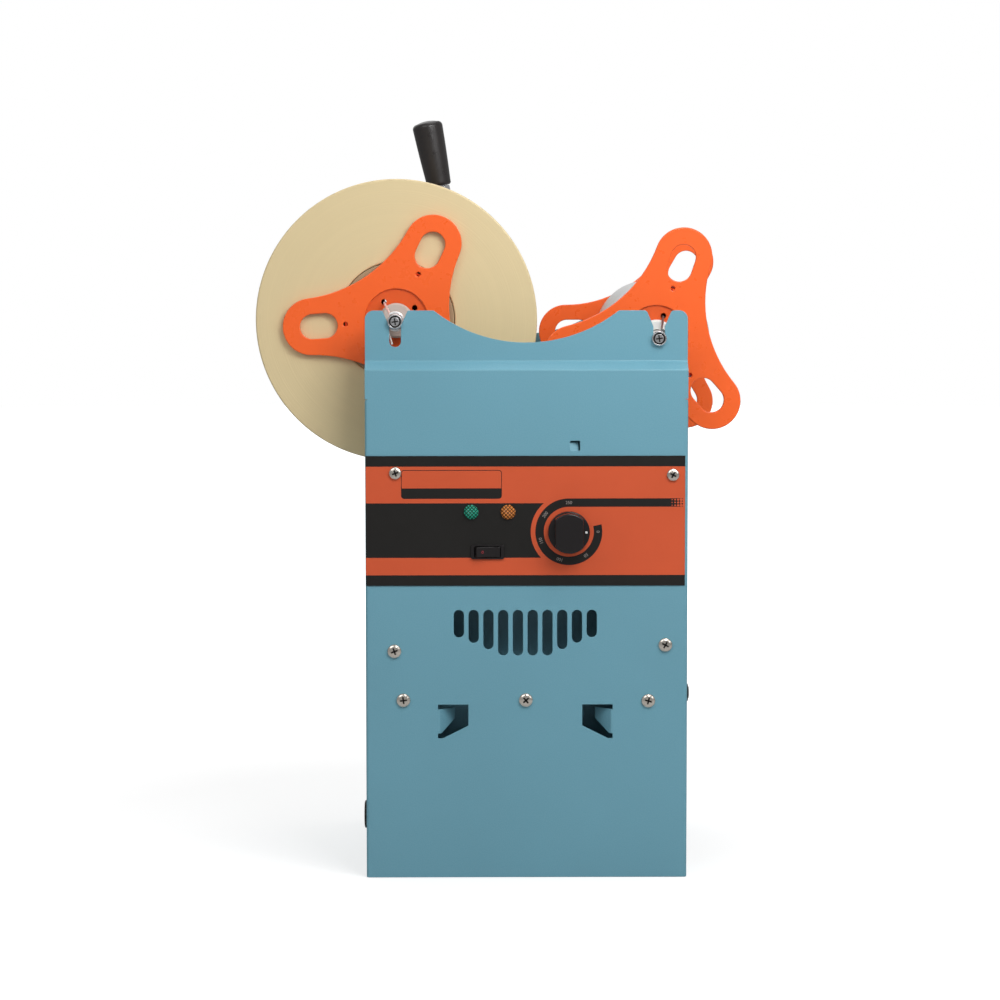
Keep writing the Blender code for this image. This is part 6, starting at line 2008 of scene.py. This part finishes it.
    def build_collar(self, side: Side) -> None:
        """The plastic collar that keeps a flange in place."""
        radius, length = self.collar
        inner = self.axle_radius + self.gap
        foot = self.face - self.hub_recess[1] + self.gap
        bevel = 0.0012
        ring = [(radius, 0), (inner, 0), (inner, length), (radius - bevel, length), (radius, length - bevel)]
        node = f"{self.kind}_collar_{side.name.lower()}"
        stand = self.stand(side.value * foot, Facing.of(side))
        collar = Blank.turned(ring, 48, 0.0003, True).move(stand)
        collar.piece(f"{node}_ring", self.collar_finish, self.body, [node])

    def build_wire(self) -> None:
        """The wire from a hub hole of the near flange to a turn round the axle; its finish carries painted
        light on the supply reel and painted shade on the take-up reel.
        """
        ear_back = self.layout.ear_y - self.layout.sheet
        loop_y = -(ear_back - 0.004)
        loop = self.axle_radius + self.wire + self.gap
        hook = self.hub_hole[0] - self.hub_hole[1] + self.wire + 0.0004
        front = -(self.face - self.hub_recess[1] + self.collar[1] + 2 * self.gap)
        bend = self.collar[0] + self.wire + 0.0004
        start = -(self.film_half + self.gap + self.thickness / 4)
        spots = [(hook, self.wire_angle, start), (hook, self.wire_angle, -self.face)]
        spots += [(bend, self.wire_angle, front), (loop, self.wire_angle, loop_y)]
        spots += [(loop, self.wire_angle - 15 * step, loop_y) for step in range(1, 21)]
        if self.wire_tail:
            spots.append((*self.tail_end, loop_y))
        points = []
        for reach, heading, y in spots:
            x, z = polar(reach, heading)
            points.append((self.centre[0] + x, y, self.centre[1] + z))
        node = f"{self.kind}_drive_wire"
        Blank.tube(points, self.wire, 12).piece(f"{node}_bent", self.wire_finish, self.body, [node])

    def build(self) -> None:
        """Builds the whole reel."""
        self.build_axle()
        self.build_core()
        self.build_flange(Side.NEAR, self.near_angle, self.hub_angle)
        self.build_flange(Side.FAR, self.far_angle, self.far_angle)
        self.build_collar(Side.NEAR)
        self.build_collar(Side.FAR)
        self.build_wire()


@dataclass
class FilmRoll:
    """The roll of sealing film on the supply core."""

    core_radius: float
    edge: float = 0.0012

    def build(self) -> None:
        """Builds the roll with soft edges."""
        low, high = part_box("film_roll")
        x, z = LAYOUT.supply
        centre = (x, 0.0, z)
        section = ring_section((high.x - low.x) / 2, self.core_radius + SEAT, high.y, -high.y)
        finish = WoundRoll("wound_film", Slot.FILM, (0.740, 0.600, 0.345), 0.36, centre)
        roll = Blank.turned(section, 160, self.edge, True).move(Facing.NEAR.at(centre))
        roll.piece("film_winding", finish, Body.SUPPLY, ["film_roll"])


@dataclass
class GuideRoller:
    """A steel roller under the film."""

    node: str
    body: Body
    journal: float = 0.003

    def build(self) -> None:
        """Builds the roller with its journals."""
        low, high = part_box(self.node)
        x, _, z = middle_of(self.node)
        centre = (x, 0.0, z)
        radius, end = (high.z - low.z) / 2, high.y
        body = LAYOUT.bay_half - 0.002
        half = [(0, end), (self.journal, end), (self.journal, body), (radius, body)]
        finish = TurnedMetal(f"{self.node}_steel", Slot.STEEL, (0.60, 0.61, 0.63), 0.22, centre, "Y")
        roller = Blank.turned(mirrored(half), 64, 0.0004).move(Facing.NEAR.at(centre))
        roller.piece(f"{self.node}_bar", finish, self.body, [self.node])


# Lever and drive


@dataclass
class HandLever:
    """The lever on the far side: hub, rod with thread, nut and grip."""

    lean: float = 11.2
    reach: float = 0.2557
    hub_radius: float = 0.011
    socket_radius: float = 0.0075
    socket_reach: float = 0.021
    rod_radius: float = 0.004
    rod_start: float = 0.0075
    grip_length: float = 0.0487
    grip_top: float = 0.01115
    grip_foot: float = 0.009
    grip_dome: Flat = (0.0013, 0.0035)
    nut_height: float = 0.006
    thread: Flat = (0.012, 0.0009)
    thread_root: float = 0.86
    shaft_bore: Flat = (0.0063, 0.0131)
    grub: Flat = (0.0019, 0.0012)
    nut_radius: float = 0.0075
    grip_bore: Flat = (0.0043, 0.034)
    grip_bulge: float = 0.0002
    edge: float = 0.0006

    def lean_matrix(self, y: float) -> Matrix:
        """Stands a piece, modelled upwards from the shaft, on the lever's axis."""
        x, z = LAYOUT.drive
        return Matrix.Translation((x, y, z)) @ Matrix.Rotation(math.radians(-self.lean), 4, "Y")

    def build(self) -> None:
        """Builds the lever."""
        low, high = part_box("lever_hub")
        stand = self.lean_matrix((low.y + high.y) / 2)
        self.build_hub(low.y, high.y, stand)
        self.build_rod(stand)
        self.build_nut(stand)
        self.build_grip(stand)

    def build_hub(self, near: float, far: float, stand: Matrix) -> None:
        """The hub on the shaft with a socket for the rod and a grub screw.

        Args:
            near: Its near face.
            far: Its far face.
            stand: The matrix of the lever's axis.
        """
        x, z = LAYOUT.drive
        half = (far - near) / 2
        disc = Blank.turned(rod_section(self.hub_radius, -half, half), 64, self.edge)
        disc.move(Facing.FAR.at((x, (near + far) / 2, z)))
        socket = rod_section(self.socket_radius, SEAT, self.socket_reach)
        disc.join(Blank.turned(socket, 48, self.edge).move(stand))
        disc.cut(Blank.turned(rod_section(self.rod_radius + 0.0002, 0.008, 0.03), 32).move(stand))
        radius, depth = self.shaft_bore
        bore = Blank.turned(rod_section(radius, 0, 0.03), 40)
        disc.cut(bore.move(Facing.NEAR.at((x, near + depth, z))))
        radius, depth = self.grub
        grub = Blank.turned(rod_section(radius, 0, 0.003), 6)
        disc.cut(grub.move(Facing.FAR.at((x, far - depth, z))))
        disc.piece("lever_hub_steel", STEEL, Body.LEVER, ["lever_hub"], 40)

    def build_rod(self, stand: Matrix) -> None:
        """The plated rod with a short thread under the nut."""
        end = self.reach - self.grip_length + self.grip_bore[1] - SEAT
        nut_foot = self.reach - self.grip_length - self.nut_height
        run, pitch = self.thread
        radius, root = self.rod_radius, self.thread_root * self.rod_radius
        start = nut_foot - run
        profile = [(0, self.rod_start), (radius, self.rod_start), (radius, start - 0.0008)]
        for step in range(int(run / pitch)):
            foot = start + step * pitch
            profile += [(root, foot), (0.995 * radius, foot + 0.5 * pitch)]
        profile += [(root, nut_foot), (root, end), (0, end)]
        rod = Blank.turned(profile, 48).move(stand)
        rod.piece("lever_rod_plated", CHROME, Body.LEVER, ["lever_rod"], 60)

    def build_nut(self, stand: Matrix) -> None:
        """A hexagon nut with chamfered corners."""
        radius = self.nut_radius
        foot = self.reach - self.grip_length - self.nut_height - SEAT
        bore = self.rod_radius + 0.0002
        nut = Blank.plate([circle((0, 0), radius, 6), circle((0, 0), bore, 32)], self.nut_height)
        half = self.nut_height / 2
        low, high = half - 0.0009, half + 0.001
        cone = [(0.88 * radius, half + 0.0001), (1.02 * radius, low), (1.5 * radius, low)]
        cone += [(1.5 * radius, high), (0.88 * radius, high)]
        for flip in (0, math.pi):
            nut.cut(Blank.turned(cone, 64, 0, True).move(Matrix.Rotation(flip, 4, "X")))
        nut.soften(0.00015, 2, 40).move(stand @ Matrix.Translation((0, 0, foot + half)))
        nut.piece("lever_nut_hexagon", CHROME, Body.LEVER, ["lever_nut"], 40)

    def build_grip(self, stand: Matrix) -> None:
        """The black grip, domed above and tapered to its foot."""
        foot = self.reach - self.grip_length
        crown = self.grip_top
        sag, corner = self.grip_dome
        edge, top = crown - corner, self.reach - sag - corner
        profile = [(edge * step / 8, self.reach - sag * (step / 8) ** 2) for step in range(9)]
        for angle in range(78, -1, -13):
            x, z = polar(corner, angle)
            profile.append((edge + x, top + z))
        for step in range(1, 13):
            share = step / 12
            bulge = math.sin(math.pi * share) * self.grip_bulge
            radius = crown + (self.grip_foot - crown) * share + bulge
            profile.append((radius, top + (foot + 0.0024 - top) * share))
        radius, depth = self.grip_bore
        profile += [(self.grip_foot, foot + 0.0012), (self.grip_foot - 0.0012, foot)]
        profile += [(radius, foot), (radius, foot + depth), (0, foot + depth)]
        grip = Blank.turned(profile, 72).move(stand)
        grip.piece("lever_grip_moulding", GRIP, Body.LEVER, ["lever_grip"], 60)


@dataclass
class PressDrive:
    """The drive shaft with its cranks and the three bearings."""

    bore: float = 0.0064
    body: float = 0.008
    rim: float = 0.0115
    flange: float = 0.002
    length: float = 0.006

    def build(self) -> None:
        """Dresses the shaft and builds the bearings."""
        redress("drive_shaft", STEEL, 0.0003)
        x, z = LAYOUT.drive
        section = [(self.rim, self.flange), (self.rim, 0), (self.body, 0), (self.body, -self.length)]
        section += [(self.bore, -self.length), (self.bore, self.flange)]
        seats = {
            "near": (Facing.FAR, -(LAYOUT.bay_half - SEAT)),
            "far": (Facing.NEAR, LAYOUT.bay_half - SEAT),
            "outer": (Facing.FAR, LAYOUT.cover_y + SEAT),
        }
        for label, (facing, y) in seats.items():
            bush = Blank.turned(section, 56, 0.0003, True).move(facing.at((x, y, z)))
            bush.piece(f"shaft_bush_{label}", BRONZE, Body.FRAME, [f"shaft_bearing_{label}"])


@dataclass
class PressHead:
    """The carrier, insulation, heating block, blade, posts and springs."""

    block_radius: float = 0.050
    blade: Flat = (0.0515, 0.0527)
    teeth: int = 72
    tooth: float = 0.002
    bolt_angles: tuple[float, ...] = (45, 135, 225, 315)
    rim: float = 0.0425
    rim_height: float = 0.002
    post_radius: float = 0.004
    post_head: float = 0.002
    spring_turns: float = 7.0
    spring_wire: float = 0.0007
    spring_closed: float = 0.9
    spring_steps: int = 24
    spring_keep: float = 0.342

    def build(self) -> None:
        """Builds all of the head."""
        redress("head_carrier", STEEL, 0.0004)
        self.build_insulation()
        self.build_block()
        self.build_blade()
        for side in Side:
            self.build_post(side)
            self.build_spring(side)

    def build_insulation(self) -> None:
        """The board between carrier and block, with its four bolts' holes."""
        low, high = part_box("insulation_plate")
        radius = (high.x - low.x) / 2
        holes = [circle(polar(0.7 * radius, angle), 0.05 * radius, 20) for angle in self.bolt_angles]
        board = Blank.plate([circle((0, 0), radius, 96)] + holes, high.z - low.z, 0.0003)
        board.move(Matrix.Translation((LAYOUT.head_x, 0, (low.z + high.z) / 2)))
        board.piece("insulation_board", BOARD, Body.HEAD, ["insulation_plate"])

    def build_block(self) -> None:
        """The heating block with a raised sealing rim."""
        low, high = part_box("heating_block")
        rise = self.rim_height
        profile = [(0, high.z), (self.block_radius, high.z), (self.block_radius, low.z), (self.rim, low.z)]
        profile += [(self.rim - rise, low.z + rise), (0, low.z + rise)]
        finish = LAYOUT.turned("turned_block", Slot.ALUMINIUM, (0.62, 0.63, 0.64), 0.38)
        block = Blank.turned(profile, 96, 0.0008).move(LAYOUT.head)
        block.piece("heating_block_cast", finish, Body.HEAD, ["heating_block"])

    def build_blade(self) -> None:
        """The ring knife with saw teeth along its foot."""
        low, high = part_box("cutting_blade")
        inner, outer = self.blade
        count = 2 * self.teeth
        bm = bmesh.new()
        rows = []
        for radius, top in ((outer, False), (outer, True), (inner, True), (inner, False)):
            row = []
            for number in range(count):
                x, y = polar(radius, 360 * number / count)
                z = high.z if top else low.z + self.tooth * (number % 2)
                row.append(bm.verts.new((LAYOUT.head_x + x, y, z)))
            rows.append(row)
        bridge(bm, rows, True)
        bmesh.ops.recalc_face_normals(bm, faces=bm.faces)
        finish = LAYOUT.turned("ground_blade", Slot.STEEL, (0.60, 0.60, 0.62), 0.26)
        Blank(bm).piece("cutting_ring", finish, Body.HEAD, ["cutting_blade"], 30)

    def build_post(self, side: Side) -> None:
        """A plated guide post that hangs by its head."""
        node = f"guide_post_{side.name.lower()}"
        low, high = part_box(node)
        y = (low.y + high.y) / 2
        head, radius, foot = (high.x - low.x) / 2, self.post_radius, high.z - self.post_head
        profile = [(0, high.z), (head, high.z), (head, foot), (radius, foot), (radius, low.z), (0, low.z)]
        post = Blank.turned(profile, 48, 0.0005).move(Matrix.Translation((LAYOUT.head_x, y, 0)))
        post.piece(f"{node}_plated", CHROME, Body.FRAME, [node])

    def build_spring(self, side: Side) -> None:
        """A return spring with closed ends."""
        node = f"return_spring_{side.name.lower()}"
        low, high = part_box(node)
        y = (low.y + high.y) / 2
        wire, closed, turns = self.spring_wire, self.spring_closed, self.spring_turns
        radius = (high.y - low.y) / 2 - wire
        foot, top = low.z + wire, high.z - wire
        total = turns + 2 * closed
        dead = 2 * wire * closed
        points = []
        count = int(self.spring_steps * total)
        for number in range(count + 1):
            turn = total * number / count
            if turn < closed:
                z = foot + dead * turn / closed
            elif turn > closed + turns:
                z = top - dead * (total - turn) / closed
            else:
                z = foot + dead + (top - foot - 2 * dead) * (turn - closed) / turns
            x, offset = polar(radius, 360 * turn)
            points.append((LAYOUT.head_x + x, y + offset, z))
        spring = Blank.tube(points, wire, 8).piece(f"{node}_coil", WIRE, Body.FRAME, [node], 60)
        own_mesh(spring)


@dataclass
class CupStation:
    """The mould ring, its gasket and the tray's pull."""

    flange: float = 0.0077
    bore: float = 0.045
    seat: Flat = (0.0488, 0.0015)
    groove: Space = (0.0504, 0.0538, 0.005)
    gasket_width: float = 0.0032

    def build(self) -> None:
        """Builds the station's turned pieces."""
        self.build_mould()
        self.build_gasket()
        self.build_pull()

    def build_mould(self) -> None:
        """The mould ring with its blade groove and gasket seat."""
        low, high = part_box("mould_ring")
        radius, top = (high.x - low.x) / 2, high.z
        flange_foot = top - self.flange
        seat, sink = self.seat
        inner, outer, depth = self.groove
        section = [(outer, top), (radius, top), (radius, flange_foot), (outer, flange_foot), (outer, low.z)]
        section += [(self.bore, low.z), (self.bore, top - sink), (seat, top - sink), (seat, top)]
        section += [(inner, top), (inner, top - depth), (outer, top - depth)]
        finish = LAYOUT.turned("turned_mould", Slot.ALUMINIUM, (0.64, 0.65, 0.66), 0.30)
        ring = Blank.turned(section, 96, 0.0004, True).move(LAYOUT.head)
        ring.piece("mould_ring_turned", finish, Body.TRAY, ["mould_ring"])

    def build_gasket(self) -> None:
        """The rubber ring that the cup's rim rests on."""
        low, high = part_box("mould_gasket")
        outer = (high.x - low.x) / 2
        section = ring_section(outer, outer - self.gasket_width, high.z, low.z)
        ring = Blank.turned(section, 96, 0.0006, True).move(LAYOUT.head)
        ring.piece("mould_gasket_ring", RUBBER, Body.TRAY, ["mould_gasket"])

    def build_pull(self) -> None:
        """The round pull on the tray's lip."""
        low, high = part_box("tray_pull")
        radius, length = (high.z - low.z) / 2, high.x - low.x
        profile = [(0, length - 0.0006), (0.6 * radius, length - 0.0003), (0.9 * radius, length)]
        profile += [(radius, 0.85 * length), (radius, 0.5 * length), (0.5 * radius, 0.3 * length)]
        profile += [(0.5 * radius, 0), (0, 0)]
        _, y, z = middle_of("tray_pull")
        pull = Blank.turned(profile, 56, 0.0006).move(Facing.FRONT.at((low.x, y, z)))
        pull.piece("tray_pull_moulding", BLACK, Body.TRAY, ["tray_pull"])


# Studio


@dataclass
class Studio:
    """Pale floor, white surround, soft lamps and the camera."""

    camera_place: Space = (-0.0323, -2.1875, 0.4321)
    camera_turn: Space = (90 - 4.782, 0.05, -0.3994)
    lens: float = 111.3
    surround: float = 0.34
    floor_lift: float = 0.64
    floor_fade: Flat = (0.35, 1.4)
    floor_rim: float = 1.2
    floor_colour: Colour = (0.5, 0.5, 0.5)
    aim: Space = (-0.02, 0, 0.25)
    lamps: tuple[tuple[str, Space, float, float], ...] = (
        ("key_lamp", (-1.5, -2.6, 2.3), 1.8, 19.0),
        ("fill_lamp", (2.2, -2.0, 1.5), 1.1, 11.0),
        ("brow_lamp", (0.25, -0.62, 0.80), 0.4, 3.7),
        ("top_lamp", (0.2, 0.4, 2.8), 1.6, 14.0),
        ("back_lamp", (-0.8, 2.6, 2.0), 2.4, 14.0),
    )

    def build(self) -> None:
        """Builds the studio."""
        self.build_world()
        self.build_floor()
        for name, place, size, power in self.lamps:
            self.build_lamp(name, place, size, power)
        self.build_camera()
        bpy.context.scene.view_settings.view_transform = "Standard"

    def build_world(self) -> None:
        """A surround that looks white and lights the object evenly."""
        world = bpy.data.worlds.new("studio_surround")
        bpy.context.scene.world = world
        world.use_nodes = True
        tree = world.node_tree
        back = tree.nodes["Background"]
        back.inputs["Color"].default_value = (1.0, 1.0, 1.0, 1.0)
        path = tree.nodes.new("ShaderNodeLightPath")
        mixed = tree.nodes.new("ShaderNodeMapRange")
        tree.links.new(path.outputs["Is Camera Ray"], mixed.inputs["Value"])
        mixed.inputs["To Min"].default_value = self.surround
        mixed.inputs["To Max"].default_value = 1.0
        tree.links.new(mixed.outputs[0], back.inputs["Strength"])

    def build_floor(self) -> None:
        """A pale floor that keeps the shadow and fades to white."""
        floor = Blank.plate([circle((0, 0), 6.0, 64)], 0.01).move(Matrix.Translation((0, 0, -0.0052)))
        floor.holder.name = "studio_floor"
        box = Paintbox("floor_paper", self.floor_colour, 0.9)
        box.set("Specular IOR Level", 0.1)
        box.set("Emission Color", (1.0, 1.0, 1.0, 1.0))
        away = box.measure("LENGTH", box.spot).outputs["Value"]
        fade = box.ramp(away, self.floor_fade, (self.floor_lift, self.floor_rim))
        seen = box.add("ShaderNodeLightPath").outputs["Is Camera Ray"]
        box.set("Emission Strength", box.calc("MULTIPLY", seen, fade))
        floor.holder.data.materials.append(box.material)

    def build_lamp(self, name: str, place: Space, size: float, power: float) -> None:
        """A square soft lamp that looks at the machine.

        Args:
            name: Name of the lamp.
            place: Where it stands.
            size: Its side.
            power: Its power in watts.
        """
        light = bpy.data.lights.new(name, "AREA")
        light.shape = "SQUARE"
        light.size = size
        light.energy = power
        lamp = bpy.data.objects.new(name, light)
        bpy.context.scene.collection.objects.link(lamp)
        lamp.location = place
        way = Vector(self.aim) - Vector(place)
        lamp.rotation_euler = way.to_track_quat("-Z", "Y").to_euler()
        lamp.visible_camera = False

    def build_camera(self) -> None:
        """The camera at the photographed view."""
        data = bpy.data.cameras.new("view")
        data.lens = self.lens
        data.sensor_width = 36.0
        data.clip_start = 0.05
        data.clip_end = 50.0
        camera = bpy.data.objects.new("view", data)
        bpy.context.scene.collection.objects.link(camera)
        camera.location = self.camera_place
        camera.rotation_euler = tuple(math.radians(angle) for angle in self.camera_turn)
        bpy.context.scene.camera = camera


def main() -> None:
    """Builds the machine's looks, then its studio."""
    logging.basicConfig(level=logging.INFO, format="%(message)s")
    supply, takeup = LAYOUT.supply, LAYOUT.takeup
    centre = (supply[0], 0.0, supply[1])
    board = WoundRoll("wound_board", Slot.CARDBOARD, (0.42, 0.31, 0.18), 0.78, centre, 0.0012, 0.45, 0.0001)
    board_core = (0.0397, 0.0042)
    reels = [
        Reel(
            kind="supply",
            body=Body.SUPPLY,
            centre=supply,
            near_angle=64.25,
            far_angle=40.0,
            hub_angle=-55.75,
            wire_angle=124.25,
            wire_tail=True,
            core=board_core,
            core_finish=board,
            # The supply reel's collars take the painted-shade copy of the collar white.
            collar_finish=SHADED_COLLAR_WHITE,
            # The supply reel's wire takes the painted-light copy of the wire.
            wire_finish=LIT_WIRE,
        ),
        Reel(
            kind="takeup",
            body=Body.TAKEUP,
            centre=takeup,
            near_angle=71.3,
            far_angle=60.0,
            hub_angle=71.3,
            wire_angle=71.3,
            wire_tail=False,
            core=(0.0368, 0.0014),
            core_finish=MILKY,
            collar_finish=WHITE,
            # The take-up reel's wire takes the painted-shade copy of the wire.
            wire_finish=SHADED_WIRE,
            waists=(0.0360, 0.0350),
        ),
    ]
    parts = [
        SideCover(Side.NEAR),
        SideCover(Side.FAR),
        InnerFrame(),
        ControlPanel(),
        PressDrive(),
        HandLever(),
        PressHead(),
        CupStation(),
        GuideRoller("guide_roller_rear", Body.REAR_ROLLER),
        GuideRoller("guide_roller_front", Body.FRONT_ROLLER),
        reels[0],
        FilmRoll(board_core[0]),
        reels[1],
        Studio(),
    ]
    for part in parts:
        LOG.info("building %s", type(part).__name__)
        part.build()


if __name__ == "__main__":
    main()
